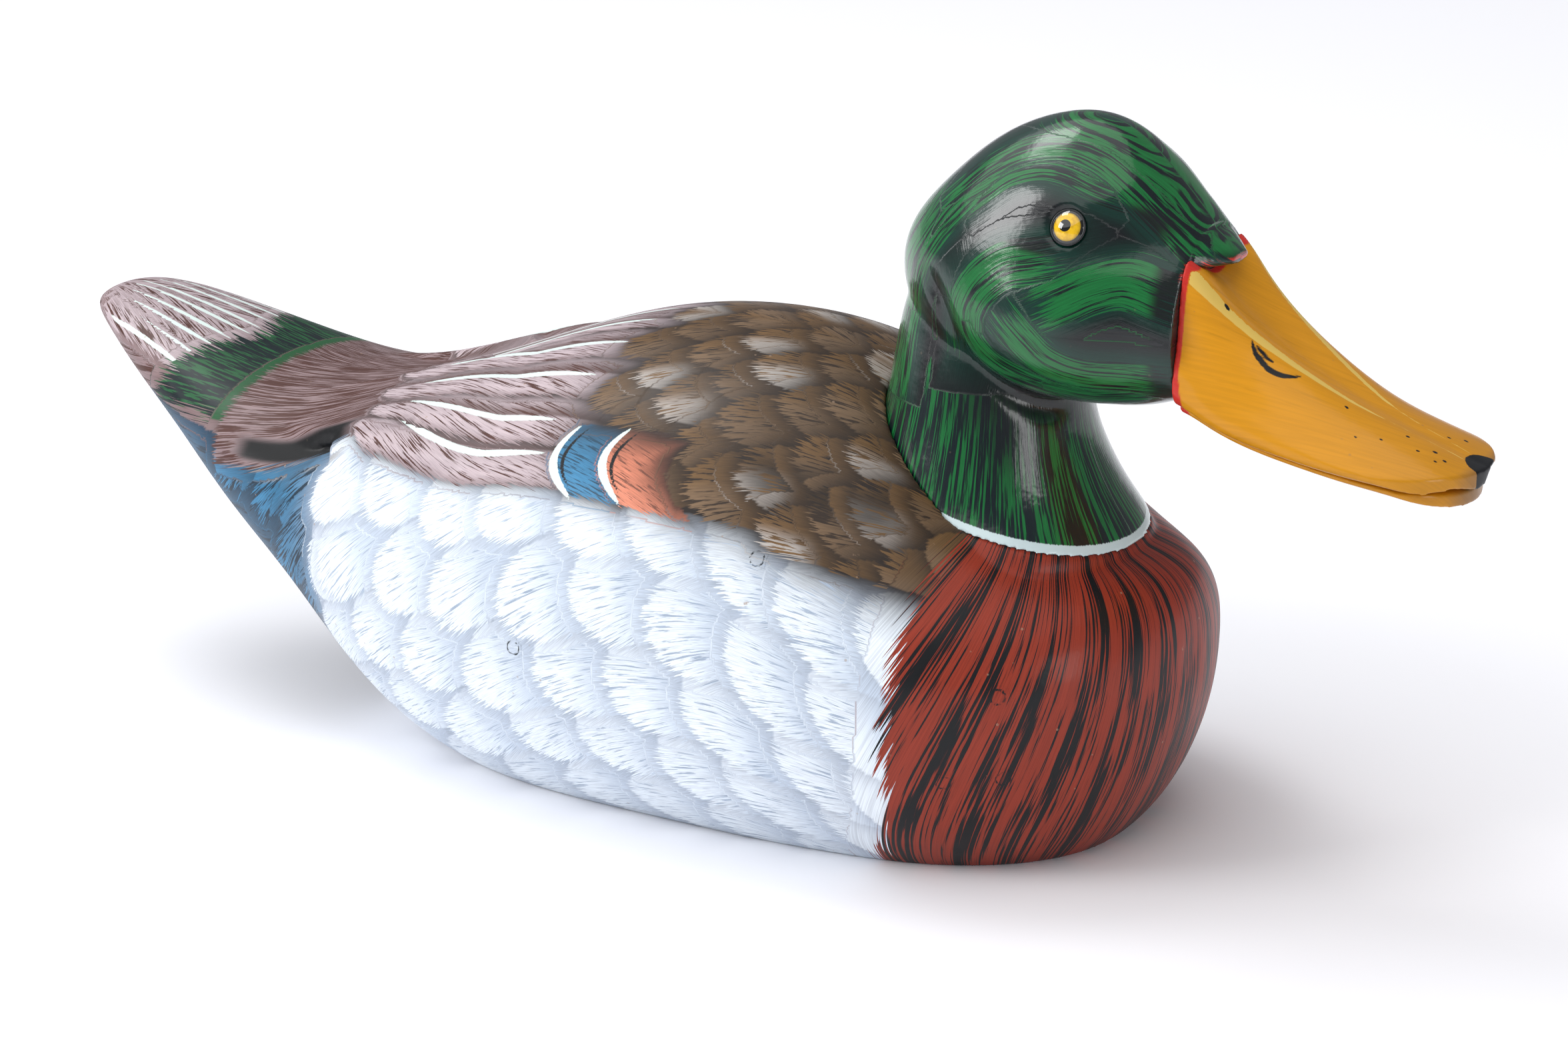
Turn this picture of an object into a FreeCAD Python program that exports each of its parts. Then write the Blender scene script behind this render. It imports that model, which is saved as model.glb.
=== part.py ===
import FreeCAD, Part
import Sketcher
import math
import os
from FreeCAD import Placement, Rotation, Vector

# Floating mallard decoy.  +X is forward (the bill), +Y the duck's left, +Z up.
# The flat bottom lies on z = 0, and x = 0, y = 0 is the middle of the bounding box.

DIMENSIONS = (
    ("seam_height", 42.0, "glue joint between the two hollow body halves"),
    ("wall", 13.0, "thickness of the hollowed body wall"),
    ("floor_wall", 15.0, "wood left under the cavity"),
    ("seat_height", 102.0, "height of the neck seat's plane above the origin"),
    ("seat_fall", 14.0, "forward fall of the neck seat in degrees"),
    ("neck_dowel_x", 62.0, "where the neck dowel stands"),
    ("neck_dowel_radius", 7.0, "hardwood dowel from neck into body"),
    ("neck_dowel_length", 48.0, "whole length of that dowel"),
    ("neck_dowel_base", 60.0, "lower end of that dowel"),
    ("screw_x", 82.0, "where the neck screw stands"),
    ("screw_shank", 2.5, "radius of the neck screw's shank"),
    ("screw_head", 5.0, "radius of the neck screw's head"),
    ("screw_head_height", 3.0, "height of that head"),
    ("screw_length", 60.0, "length of the neck screw's shank"),
    ("screw_base", 50.0, "shoulder that the washer bears on"),
    ("screw_point", 5.0, "length of the screw's point"),
    ("washer_radius", 9.0, "washer under the neck screw's head"),
    ("washer_thickness", 1.6, "thickness of that washer"),
    ("washer_bore", 2.8, "radius of the hole in that washer"),
    ("bill_root", 127.5, "plane where the bill meets the head"),
    ("bill_tip", 197.5, "foremost point of the bill"),
    ("bill_tip_radius", 22.0, "round end of the bill seen from above"),
    ("bill_dowel_radius", 4.0, "dowel that holds the bill"),
    ("bill_dowel_length", 32.0, "whole length of that dowel"),
    ("bill_dowel_height", 122.0, "height of that dowel"),
    ("eye_x", 101.4, "middle of a glass eye, forward"),
    ("eye_y", 23.5, "middle of a glass eye, sideways"),
    ("eye_height", 157.2, "middle of a glass eye, up"),
    ("eye_tilt", 23.0, "how far a glass eye looks up, in degrees"),
    ("eye_radius", 4.0, "glass eye"),
    ("eye_front", 1.5, "how far the glass stands out of the head"),
    ("eye_back", 1.8, "how far the glass lies in the head"),
    ("wire_radius", 0.5, "stem wire of a glass eye"),
    ("wire_length", 12.0, "length of that wire"),
    ("putty_radius", 4.9, "ring of putty round a glass eye"),
    ("putty_front", 0.5, "how far the putty stands out of the head"),
    ("pin_radius", 4.0, "alignment dowels across the body joint"),
    ("pin_length", 24.0, "whole length of an alignment dowel"),
    ("front_pin_x", 58.0, "front pair of alignment dowels, forward"),
    ("front_pin_y", 38.0, "front pair, sideways"),
    ("rear_pin_x", -110.0, "rear pair of alignment dowels, forward"),
    ("rear_pin_y", 18.0, "rear pair, sideways"),
    ("weight_length", 90.0, "lead ballast bar"),
    ("weight_width", 26.0, "width of the bar"),
    ("weight_thickness", 8.0, "thickness of the bar"),
    ("weight_recess", 0.5, "how far the bar lies inside the bottom face"),
    ("weight_x", -14.0, "middle of the bar"),
    ("weight_corner", 3.0, "rounded upright corners of the bar"),
    ("ballast_pitch", 60.0, "between the two ballast screws"),
    ("ballast_shank", 2.0, "radius of a ballast screw"),
    ("ballast_head", 4.0, "radius of a ballast screw's head"),
    ("ballast_head_height", 2.0, "height of that head"),
    ("ballast_reach", 10.5, "length of a ballast screw under its head"),
    ("counterbore", 2.5, "depth of the room for a ballast screw's head"),
    ("counterbore_radius", 4.4, "radius of that room"),
    ("clearance_radius", 2.2, "radius of the bar's holes for the screws"),
    ("slot_width", 1.2, "driver slot of a screw"),
    ("slot_depth", 0.9, "depth of that slot"),
    ("tie_x", 82.0, "middle of the line-tie pocket"),
    ("pocket_length", 30.0, "line-tie pocket, fore and aft"),
    ("pocket_width", 22.0, "line-tie pocket, across"),
    ("pocket_depth", 22.0, "line-tie pocket, up from the bottom"),
    ("staple_wire", 1.2, "radius of the staple's wire"),
    ("staple_half_span", 6.0, "from the middle to a staple leg"),
    ("staple_leg", 18.0, "height of the staple"),
    ("staple_bend", 3.0, "bend radius of the staple's wire"),
    ("pivot_height", 15.5, "middle of the staple's bow above the bottom"),
    ("ring_radius", 7.0, "line-tie ring, to the middle of its wire"),
    ("ring_wire", 1.1, "radius of the ring's wire"),
    ("ring_play", 0.15, "gap between the ring and the staple's bow"),
)

# Filled fastener holes: x, inner end of the hole from the middle plane, height.
PLUG_PLACES = (
    (-21.5, 63, 46.5),
    (41.5, 54, 78),
    (100, 41, 50.5),
    (88.5, 47, 28.5),
    (101, 39, 29),
)
PLUG_RADIUS = 1.7
PLUG_REACH = 16

# The cavity follows the body stations between these two places.
HOLLOW_FROM = -95
HOLLOW_TO = 40

document = FreeCAD.newDocument("duck_decoy")
sheet = document.addObject("Spreadsheet::Sheet", "Dims")
for row, (name, value, meaning) in enumerate(DIMENSIONS, start=1):
    sheet.set("A%d" % row, name)
    sheet.set("B%d" % row, str(value))
    sheet.set("C%d" % row, meaning)
    sheet.setAlias("B%d" % row, name)
document.recompute()
SIZE = {name: float(sheet.get(name)) for name, _, _ in DIMENSIONS}


# ---------------------------------------------------------------- carved shapes

# Body stations along X: x, half width, top, height of the widest line, bottom.
# Where the bottom is below zero the flat underside cuts the section off.
BODY_STATIONS = (
    (-197.5, 6.5, 94, 92, 90),
    (-193, 12.5, 96, 92, 87.5),
    (-186, 17.5, 96.2, 90.5, 82),
    (-173, 24.5, 94, 85, 73.5),
    (-155, 32, 89.5, 77.5, 59),
    (-134, 41, 84.5, 69, 41.5),
    (-112, 48.5, 84, 61.5, 23.5),
    (-90, 56.8, 88, 55.5, 4),
    (-62, 66.5, 98.5, 50, -9),
    (-30, 71.5, 110.5, 48, -14),
    (5, 73, 115.5, 47, -14),
    (30, 72, 112.8, 46, -14),
    (55, 68.5, 102.8, 46, -14),
    (80, 62, 87.5, 46, -12),
    (97, 53, 78, 46, -7),
    (109, 43.5, 73.5, 46.5, 1),
    (117.5, 32, 69.5, 47, 14),
    (122.3, 19.5, 64, 48, 28),
    (124.8, 6, 55, 49, 43),
)

# Head stations along X: x, half width, top, height of the cheek, bottom.
HEAD_STATIONS = (
    (48.8, 3.5, 143.2, 139, 135),
    (50.6, 9, 148.8, 138.8, 130),
    (54.8, 14.5, 154.6, 138, 124.8),
    (62, 20.8, 162, 137.5, 118.5),
    (72, 26, 170.4, 136, 114),
    (86, 28.8, 177.2, 134.5, 111),
    (97, 29, 178.8, 133.5, 110.5),
    (108, 27, 175.2, 133, 111),
    (118, 24.2, 166.8, 132.5, 112.5),
    (127.5, 22, 156.6, 132, 115.5),
)

# Neck sections up Z: z, middle in X, half length in X, half width in Y.
NECK_SECTIONS = (
    (66, 74, 34, 36.5),
    (78, 74.3, 33.5, 35.5),
    (84, 73, 30.8, 32.3),
    (91, 71.3, 28.4, 29.8),
    (99, 70, 26.3, 27.2),
    (108, 69.9, 24.6, 24.8),
    (118, 70.4, 23.6, 22.8),
    (130, 72.2, 22.9, 21),
    (142, 75, 22, 17),
)

# Folded wing tip: a blade that runs back over the rump.  Each section has its
# x, then the ridge, the outer lip, the lower edge and the inner foot as (y, z).
WING_TIP_SECTIONS = (
    (-129, (29, 77.5), (35, 75), (36, 71), (26, 64)),
    (-113, (17, 83.8), (36, 78), (40, 73), (14, 68)),
    (-99, (12, 87.4), (42, 81), (43, 77), (9, 72)),
    (-85, (11, 91.7), (46, 85.5), (46, 80), (8, 76)),
    (-68, (9, 97.6), (48, 90.5), (48, 84), (8, 82)),
)

# Wing coverts: the shoulder of feathers that the wing tip comes out of.
COVERT_SECTIONS = (
    (-93.5, (6, 82), (14, 88.2), (30, 85.3), (42, 82), (47, 78.5), (47.5, 73.5), (45, 67), (30, 66)),
    (-80, (5, 86), (14, 93), (30, 90.3), (43, 87), (51, 82), (52.5, 75.5), (50, 68), (30, 68)),
    (-62, (4, 92), (14, 99.4), (32, 96), (46, 91.5), (54.5, 84.5), (56.5, 77), (55, 70), (30, 70)),
    (-36, (4, 95), (14, 104), (33, 100), (46, 93), (55, 85.5), (60, 77), (58, 70), (30, 70)),
)

# Point of the forehead that reaches out over the bill, as stations like the head's.
FOREHEAD_STATIONS = (
    (119.5, 17, 164, 149, 146),
    (125, 14.5, 157.6, 149, 146.8),
    (130, 9.5, 153.6, 149, 147.4),
    (134.3, 4, 150.4, 149, 148),
)

# Lower bill stations, as ovals with their widest line near the top.
LOWER_BILL_STATIONS = (
    (126.5, 16, 117.4, 116.4, 113),
    (135, 16.5, 114.4, 113.3, 110),
    (146, 17, 110.9, 109.8, 106.9),
    (158, 17.5, 108.8, 107.7, 104.7),
    (169, 18, 107.4, 106.3, 103.2),
    (180, 18.3, 106.4, 105.3, 102),
    (190, 18.5, 104.8, 103.7, 100.8),
    (199, 18.5, 103.6, 102.5, 100),
)

# Upper bill stations: x, half width of the lower edge, height of that edge,
# then the two top ridges' offset and height, and the height of the channel.
BILL_STATIONS = (
    (126.5, 20, 118.5, 15, 151, 146.5),
    (135, 20.5, 114.8, 12.8, 143, 139.3),
    (146, 21, 111.5, 10, 133.3, 130.8),
    (158, 21.5, 109.5, 7, 125.3, 123.9),
    (169, 22, 108.2, 4.5, 119.2, 118.7),
    (180, 22, 107.3, 3, 114.8, 114.5),
    (190, 22, 106, 2.4, 111.2, 111),
    (199, 22, 104.9, 2, 108.4, 108.3),
)


def closed_curve(points):
    curve = Part.BSplineCurve()
    curve.interpolate(Points=points, PeriodicFlag=True)
    return Part.Wire(curve.toShape())


def oval_wire(x, half_width, top, side, bottom, upper_power=2.1, lower_power=2.2):
    """Section across X: an oval with its own roundness above and below its widest line."""
    count = 32
    points = []
    for step in range(count):
        angle = 2 * math.pi * step / count - math.pi / 2
        across, up = math.cos(angle), math.sin(angle)
        power = upper_power if up > 0 else lower_power
        reach = top - side if up > 0 else side - bottom
        y = half_width * math.copysign(abs(across) ** (2 / power), across)
        z = side + reach * math.copysign(abs(up) ** (2 / power), up)
        points.append(Vector(x, y, z))
    return closed_curve(points)


def level_wire(z, middle, half_length, half_width):
    """Horizontal oval section of the neck."""
    count = 24
    points = []
    for step in range(count):
        angle = 2 * math.pi * step / count + math.pi
        points.append(Vector(middle + half_length * math.cos(angle), half_width * math.sin(angle), z))
    return closed_curve(points)


def bill_wire(x, edge_y, edge_z, ridge_y, ridge_z, channel_z):
    """Section of the upper bill: hollow underneath, two ridges and a channel on top."""
    rise = ridge_z - edge_z
    lip = min(1.0, 0.25 * rise)
    half = [
        (0, edge_z + 1.2 * lip),
        (edge_y * 0.55, edge_z + 0.6 * lip),
        (edge_y * 0.95, edge_z - 0.2 * lip),
        (edge_y, edge_z + lip),
        (edge_y - 0.08 * (edge_y - ridge_y), edge_z + 0.35 * rise),
        (edge_y - 0.38 * (edge_y - ridge_y), edge_z + 0.74 * rise),
        (ridge_y, ridge_z),
        (ridge_y * 0.5, (ridge_z + channel_z) / 2),
        (0, channel_z),
    ]
    left = [Vector(x, y, z) for y, z in half]
    right = [Vector(x, -y, z) for y, z in half[-2:0:-1]]
    return closed_curve(left + right)


def loft(wires):
    return Part.makeLoft(wires, True, False)


def right_side_loft(sections):
    """Loft of straight-edged sections on the right-hand side, given by their outward distances."""
    wires = []
    for x, *corners in sections:
        points = [Vector(x, -out, z) for out, z in corners]
        wires.append(Part.makePolygon(points + points[:1]))
    return loft(wires)


def both_sides(shape):
    return shape.fuse(shape.mirror(Vector(0, 0, 0), Vector(0, 1, 0)))


def above_seat():
    """Everything on the neck's side of the sloping seat plane."""
    block = Part.makeBox(400, 400, 200, Vector(-200, -200, 0))
    block.rotate(Vector(0, 0, 0), Vector(0, 1, 0), SIZE["seat_fall"])
    block.translate(Vector(0, 0, SIZE["seat_height"]))
    return block


def below(height):
    return Part.makeBox(600, 400, 400, Vector(-300, -200, height - 400))


def spoon_outline(radius):
    """Plan of the bill: straight sides and a round tip, as a tall block."""
    middle = SIZE["bill_tip"] - SIZE["bill_tip_radius"]
    round_tip = Part.makeCylinder(radius, 100, Vector(middle, 0, 80))
    start = SIZE["bill_root"]
    return round_tip.fuse(Part.makeBox(middle - start, 2 * radius, 100, Vector(start, -radius, 80)))


def hollow():
    """Inside of the body: the body's own stations brought in by the wall."""
    wires = []
    for x, half_width, top, side, bottom in BODY_STATIONS:
        if HOLLOW_FROM <= x <= HOLLOW_TO:
            roof = top - SIZE["wall"] * 1.5
            floor = max(bottom + SIZE["wall"] * 1.5, SIZE["floor_wall"])
            wires.append(oval_wire(x, half_width - SIZE["wall"], roof, side, floor))
    return loft(wires)


def cylinder_x(radius, length, x, y, z):
    return Part.makeCylinder(radius, length, Vector(x, y, z), Vector(1, 0, 0))


def cylinder_y(radius, length, x, y, z):
    return Part.makeCylinder(radius, length, Vector(x, y, z), Vector(0, 1, 0))


def cylinder_z(radius, length, x, y, z):
    return Part.makeCylinder(radius, length, Vector(x, y, z))


def block_at(x, length, width, low, high):
    """Upright block centred on x and on the middle plane."""
    return Part.makeBox(length, width, high - low, Vector(x - length / 2, -width / 2, low))


def eye_frame(side):
    """Placement of an eye: its own +Z looks out of the head."""
    tilt = math.radians(SIZE["eye_tilt"])
    outward = Vector(0.08, side * math.cos(tilt), math.sin(tilt))
    centre = Vector(SIZE["eye_x"], side * SIZE["eye_y"], SIZE["eye_height"])
    return Placement(centre, Rotation(Vector(0, 0, 1), outward))


def eye_room(side):
    socket = cylinder_z(SIZE["putty_radius"], 2 * SIZE["eye_back"], 0, 0, -SIZE["eye_back"])
    wire = cylinder_z(SIZE["wire_radius"], SIZE["wire_length"], 0, 0,
                      -SIZE["eye_back"] - SIZE["wire_length"])
    room = socket.fuse(wire)
    room.Placement = eye_frame(side)
    return room


HEAD_UPPER_POWER = 1.9
HEAD_LOWER_POWER = 2.3
LOWER_BILL_INSET = 2.5

body_loft = loft([oval_wire(*station) for station in BODY_STATIONS]).cut(below(0))
wings = both_sides(right_side_loft(WING_TIP_SECTIONS).fuse(right_side_loft(COVERT_SECTIONS)))
neck_loft = loft([level_wire(*section) for section in NECK_SECTIONS])
neck_above = neck_loft.common(above_seat())
neck_below = neck_loft.cut(above_seat())
carved_body = body_loft.fuse(wings).fuse(neck_below).cut(neck_above)

head_loft = loft([oval_wire(*station, HEAD_UPPER_POWER, HEAD_LOWER_POWER) for station in HEAD_STATIONS])
forehead = loft([oval_wire(*station) for station in FOREHEAD_STATIONS])
carved_head = neck_above.fuse(head_loft).fuse(forehead)

upper_bill = loft([bill_wire(*station) for station in BILL_STATIONS])
upper_bill = upper_bill.common(spoon_outline(SIZE["bill_tip_radius"])).cut(forehead)
lower_bill = loft([oval_wire(*station) for station in LOWER_BILL_STATIONS])
lower_bill = lower_bill.common(spoon_outline(SIZE["bill_tip_radius"] - LOWER_BILL_INSET))

# Every dowel, screw and insert takes its own room out of the carved pieces.
neck_dowel_room = cylinder_z(SIZE["neck_dowel_radius"], SIZE["neck_dowel_length"],
                             SIZE["neck_dowel_x"], 0, SIZE["neck_dowel_base"])
screw_room = cylinder_z(SIZE["screw_shank"], SIZE["screw_length"], SIZE["screw_x"], 0, SIZE["screw_base"])
screw_access = cylinder_z(SIZE["washer_radius"] + 0.5, SIZE["screw_base"] - SIZE["seam_height"],
                          SIZE["screw_x"], 0, SIZE["seam_height"])
bill_dowel_room = cylinder_x(SIZE["bill_dowel_radius"], SIZE["bill_dowel_length"],
                             SIZE["bill_root"] - SIZE["bill_dowel_length"] / 2, 0,
                             SIZE["bill_dowel_height"])
pin_rooms = [
    cylinder_z(SIZE["pin_radius"], SIZE["pin_length"], SIZE[end + "_pin_x"], side * SIZE[end + "_pin_y"],
               SIZE["seam_height"] - SIZE["pin_length"] / 2)
    for end in ("front", "rear") for side in (1, -1)
]
weight_room = block_at(SIZE["weight_x"], SIZE["weight_length"], SIZE["weight_width"],
                       0, SIZE["weight_recess"] + SIZE["weight_thickness"])
ballast_screw_rooms = [
    cylinder_z(SIZE["ballast_shank"], SIZE["ballast_reach"],
               SIZE["weight_x"] + end * SIZE["ballast_pitch"] / 2, 0,
               SIZE["weight_recess"] + SIZE["counterbore"])
    for end in (1, -1)
]
pocket = block_at(SIZE["tie_x"], SIZE["pocket_length"], SIZE["pocket_width"], 0, SIZE["pocket_depth"])
staple_rooms = [
    cylinder_z(SIZE["staple_wire"], SIZE["staple_leg"], SIZE["tie_x"], side * SIZE["staple_half_span"],
               SIZE["pivot_height"])
    for side in (1, -1)
]
plug_blanks = [
    cylinder_y(PLUG_RADIUS, PLUG_REACH, x, start if side > 0 else -start - PLUG_REACH, z)
    for x, start, z in PLUG_PLACES for side in (1, -1)
]

seam_block = below(SIZE["seam_height"])
cavity = hollow()
flank_plugs = Part.makeCompound([carved_body.common(blank) for blank in plug_blanks])
body_upper = carved_body.cut(seam_block).cut(
    [cavity, neck_dowel_room, screw_room, screw_access] + pin_rooms + plug_blanks)
body_lower = carved_body.common(seam_block).cut(
    [cavity, weight_room, pocket] + pin_rooms + ballast_screw_rooms + staple_rooms + plug_blanks)
head = carved_head.cut([neck_dowel_room, screw_room, bill_dowel_room, eye_room(1), eye_room(-1)])
upper_bill = upper_bill.cut(bill_dowel_room)

parts = []


def carved(label, shape):
    """A carved piece: its solid has no simple feature history."""
    feature = document.addObject("Part::Feature", label)
    feature.Label = label
    feature.Shape = shape
    feature.Placement = Placement()
    parts.append(feature)


carved("body_upper", body_upper)
carved("body_lower", body_lower)
carved("head", head)
carved("upper_bill", upper_bill)
carved("lower_bill", lower_bill)
carved("flank_plugs", flank_plugs)


# ------------------------------------------------------- turned and fitted pieces

def dim(*terms):
    """Sum of sheet values as (expression, number); a leading minus subtracts one."""
    expression = ""
    number = 0.0
    for term in terms:
        name = term.lstrip("-")
        sign = "-" if term.startswith("-") else "+"
        expression += " %s Dims.%s" % (sign, name)
        number += -SIZE[name] if sign == "-" else SIZE[name]
    return expression.strip(" +"), number


def new_body(label, many_solids=False):
    body = document.addObject("PartDesign::Body", label)
    body.Label = label
    if many_solids:
        body.AllowCompound = True
    parts.append(body)
    return body


def new_sketch(body, role, name):
    sketch = body.newObject("Sketcher::SketchObject", name)
    plane = [item for item in body.Origin.OriginFeatures if item.Role == role][0]
    sketch.AttachmentSupport = (plane, [""])
    sketch.MapMode = "FlatFace"
    return sketch


def constrain(sketch, *arguments, expression=None):
    index = sketch.addConstraint(Sketcher.Constraint(*arguments))
    if expression:
        sketch.setExpression("Constraints[%d]" % index, expression)


def fix_point(sketch, geometry, vertex, x, y):
    """Hold one point of a sketch at sheet distances from the origin; None means zero."""
    if x is None:
        constrain(sketch, "PointOnObject", geometry, vertex, -2)
    else:
        constrain(sketch, "DistanceX", -1, 1, geometry, vertex, x[1], expression=x[0])
    if y is None:
        constrain(sketch, "PointOnObject", geometry, vertex, -1)
    else:
        constrain(sketch, "DistanceY", -1, 1, geometry, vertex, y[1], expression=y[0])


def draw_circle(sketch, radius, x=None, y=None):
    centre = Vector(x[1] if x else 0, y[1] if y else 0, 0)
    circle = sketch.addGeometry(Part.Circle(centre, Vector(0, 0, 1), radius[1]), False)
    constrain(sketch, "Radius", circle, radius[1], expression=radius[0])
    fix_point(sketch, circle, 3, x, y)


def draw_profile(sketch, corners):
    """Closed straight-edged profile whose corners are held by sheet values."""
    spots = [Vector(x[1] if x else 0, y[1] if y else 0, 0) for x, y in corners]
    count = len(spots)
    lines = [sketch.addGeometry(Part.LineSegment(spots[i], spots[(i + 1) % count]), False)
             for i in range(count)]
    for i, (x, y) in enumerate(corners):
        constrain(sketch, "Coincident", lines[i - 1], 2, lines[i], 1)
        fix_point(sketch, lines[i], 1, x, y)


def pad(body, sketch, length, name="Pad"):
    feature = body.newObject("PartDesign::Pad", name)
    feature.Profile = sketch
    feature.setExpression("Length", length[0])
    document.recompute()
    return feature


def revolve(body, sketch):
    feature = body.newObject("PartDesign::Revolution", "Revolution")
    feature.Profile = sketch
    feature.ReferenceAxis = (sketch, ["V_Axis"])
    feature.Angle = 360
    document.recompute()
    return feature


def place(item, x=None, y=None, z=None):
    for axis, value in (("x", x), ("y", y), ("z", z)):
        if value:
            item.setExpression("Placement.Base." + axis, value[0])


def break_edges(body, feature, size, edges):
    chamfer = body.newObject("PartDesign::Chamfer", "Chamfer")
    chamfer.Base = (feature, edges)
    chamfer.Size = size
    document.recompute()


def round_edge_names(feature, radius):
    """Names of a feature's circular edges of one radius."""
    return ["Edge%d" % (i + 1) for i, edge in enumerate(feature.Shape.Edges)
            if hasattr(edge.Curve, "Radius") and abs(edge.Curve.Radius - radius) < 1e-6 and edge.isClosed()]


DOWEL_CHAMFER = 0.8

neck_dowel = new_body("neck_dowel")
sketch = new_sketch(neck_dowel, "XY_Plane", "DowelSection")
draw_circle(sketch, dim("neck_dowel_radius"))
round_bar = pad(neck_dowel, sketch, dim("neck_dowel_length"))
break_edges(neck_dowel, round_bar, DOWEL_CHAMFER, round_edge_names(round_bar, SIZE["neck_dowel_radius"]))
place(neck_dowel, x=dim("neck_dowel_x"), z=dim("neck_dowel_base"))

body_pins = new_body("body_pins", many_solids=True)
sketch = new_sketch(body_pins, "XY_Plane", "PinSections")
for end in ("front", "rear"):
    for sign in ("", "-"):
        draw_circle(sketch, dim("pin_radius"), x=dim(end + "_pin_x"), y=dim(sign + end + "_pin_y"))
bars = pad(body_pins, sketch, dim("pin_length"))
break_edges(body_pins, bars, DOWEL_CHAMFER, round_edge_names(bars, SIZE["pin_radius"]))
body_pins.setExpression("Placement.Base.z", "Dims.seam_height - Dims.pin_length / 2")

bill_dowel = document.addObject("Part::Cylinder", "bill_dowel")
bill_dowel.Label = "bill_dowel"
bill_dowel.setExpression("Radius", "Dims.bill_dowel_radius")
bill_dowel.setExpression("Height", "Dims.bill_dowel_length")
bill_dowel.Placement = Placement(Vector(0, 0, 0), Rotation(Vector(0, 1, 0), 90))
bill_dowel.setExpression("Placement.Base.x", "Dims.bill_root - Dims.bill_dowel_length / 2")
bill_dowel.setExpression("Placement.Base.z", "Dims.bill_dowel_height")
parts.append(bill_dowel)

neck_screw = new_body("neck_screw")
sketch = new_sketch(neck_screw, "XZ_Plane", "ScrewProfile")
head_low = dim("-washer_thickness", "-screw_head_height")
draw_profile(sketch, (
    (None, head_low),
    (dim("screw_head"), head_low),
    (dim("screw_head"), dim("-washer_thickness")),
    (dim("screw_shank"), dim("-washer_thickness")),
    (dim("screw_shank"), dim("screw_length", "-screw_point")),
    (None, dim("screw_length")),
))
revolve(neck_screw, sketch)
place(neck_screw, x=dim("screw_x"), z=dim("screw_base"))

neck_washer = new_body("neck_washer")
sketch = new_sketch(neck_washer, "XY_Plane", "WasherSection")
draw_circle(sketch, dim("washer_radius"))
draw_circle(sketch, dim("screw_shank"))
pad(neck_washer, sketch, dim("washer_thickness"))
place(neck_washer, x=dim("screw_x"), z=dim("screw_base", "-washer_thickness"))

for side, label in ((-1, "right"), (1, "left")):
    glass = new_body("eye_" + label)
    sketch = new_sketch(glass, "XZ_Plane", "EyeProfile")
    back_height = dim("-eye_back")
    rim = Vector(SIZE["eye_radius"], 0, 0)
    crown = Vector(0, SIZE["eye_front"], 0)
    back_middle = Vector(0, back_height[1], 0)
    back_edge = Vector(SIZE["eye_radius"], back_height[1], 0)
    on_dome = Vector(0.72 * SIZE["eye_radius"], 0.5 * SIZE["eye_front"], 0)
    lines = [
        sketch.addGeometry(Part.LineSegment(back_middle, back_edge), False),
        sketch.addGeometry(Part.LineSegment(back_edge, rim), False),
        sketch.addGeometry(Part.Arc(rim, on_dome, crown), False),
        sketch.addGeometry(Part.LineSegment(crown, back_middle), False),
    ]
    for line, following in zip(lines, lines[1:] + lines[:1]):
        constrain(sketch, "Coincident", line, 2, following, 1)
    fix_point(sketch, lines[0], 1, None, back_height)
    fix_point(sketch, lines[1], 1, dim("eye_radius"), back_height)
    fix_point(sketch, lines[2], 1, dim("eye_radius"), None)
    fix_point(sketch, lines[3], 1, None, dim("eye_front"))
    constrain(sketch, "PointOnObject", lines[2], 3, -2)
    revolve(glass, sketch)
    glass.Placement = eye_frame(side)


def cylinder_object(name, radius, height):
    item = document.addObject("Part::Cylinder", name)
    item.setExpression("Radius", "Dims." + radius)
    item.setExpression("Height", height)
    return item


def pair(label, right_item):
    """Node with the right-hand piece and its mirror image on the left."""
    left_item = document.addObject("Part::Mirroring", label + "_left")
    left_item.Source = right_item
    left_item.Normal = (0, 1, 0)
    both = document.addObject("Part::Compound", label)
    both.Label = label
    both.Links = [right_item, left_item]
    parts.append(both)


putty_disc = cylinder_object("putty_disc", "putty_radius", "Dims.eye_back + Dims.putty_front")
putty_bore = cylinder_object("putty_bore", "eye_radius", "Dims.eye_back + Dims.putty_front")
putty_ring = document.addObject("Part::Cut", "putty_ring")
putty_ring.Base = putty_disc
putty_ring.Tool = putty_bore
putty_ring.Placement = eye_frame(-1).multiply(Placement(Vector(0, 0, -SIZE["eye_back"]), Rotation()))
pair("eye_putty", putty_ring)

wire_depth = -SIZE["eye_back"] - SIZE["wire_length"]
wire = cylinder_object("eye_wire", "wire_radius", "Dims.wire_length")
wire.Placement = eye_frame(-1).multiply(Placement(Vector(0, 0, wire_depth), Rotation()))
pair("eye_wires", wire)


def pocket_up(body, sketch, depth=None):
    """Pocket that cuts upward from the sketch; with no depth it goes right through."""
    before = body.Shape.Volume
    cut = body.newObject("PartDesign::Pocket", "Pocket")
    cut.Profile = sketch
    cut.Reversed = True
    if depth:
        cut.setExpression("Length", depth[0])
    else:
        cut.Type = "ThroughAll"
    document.recompute()
    if cut.Shape.Volume >= before:
        raise RuntimeError(body.Label + ": a pocket cuts nothing")


def rectangle(sketch, half_length, half_width):
    """Rectangle about the sketch's origin, from two (expression, number) pairs."""
    ends = [("-(%s)" % half_length[0], -half_length[1]), half_length]
    sides = [("-(%s)" % half_width[0], -half_width[1]), half_width]
    draw_profile(sketch, (
        (ends[0], sides[0]),
        (ends[1], sides[0]),
        (ends[1], sides[1]),
        (ends[0], sides[1]),
    ))


def half(name):
    return "Dims.%s / 2" % name, SIZE[name] / 2


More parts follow.
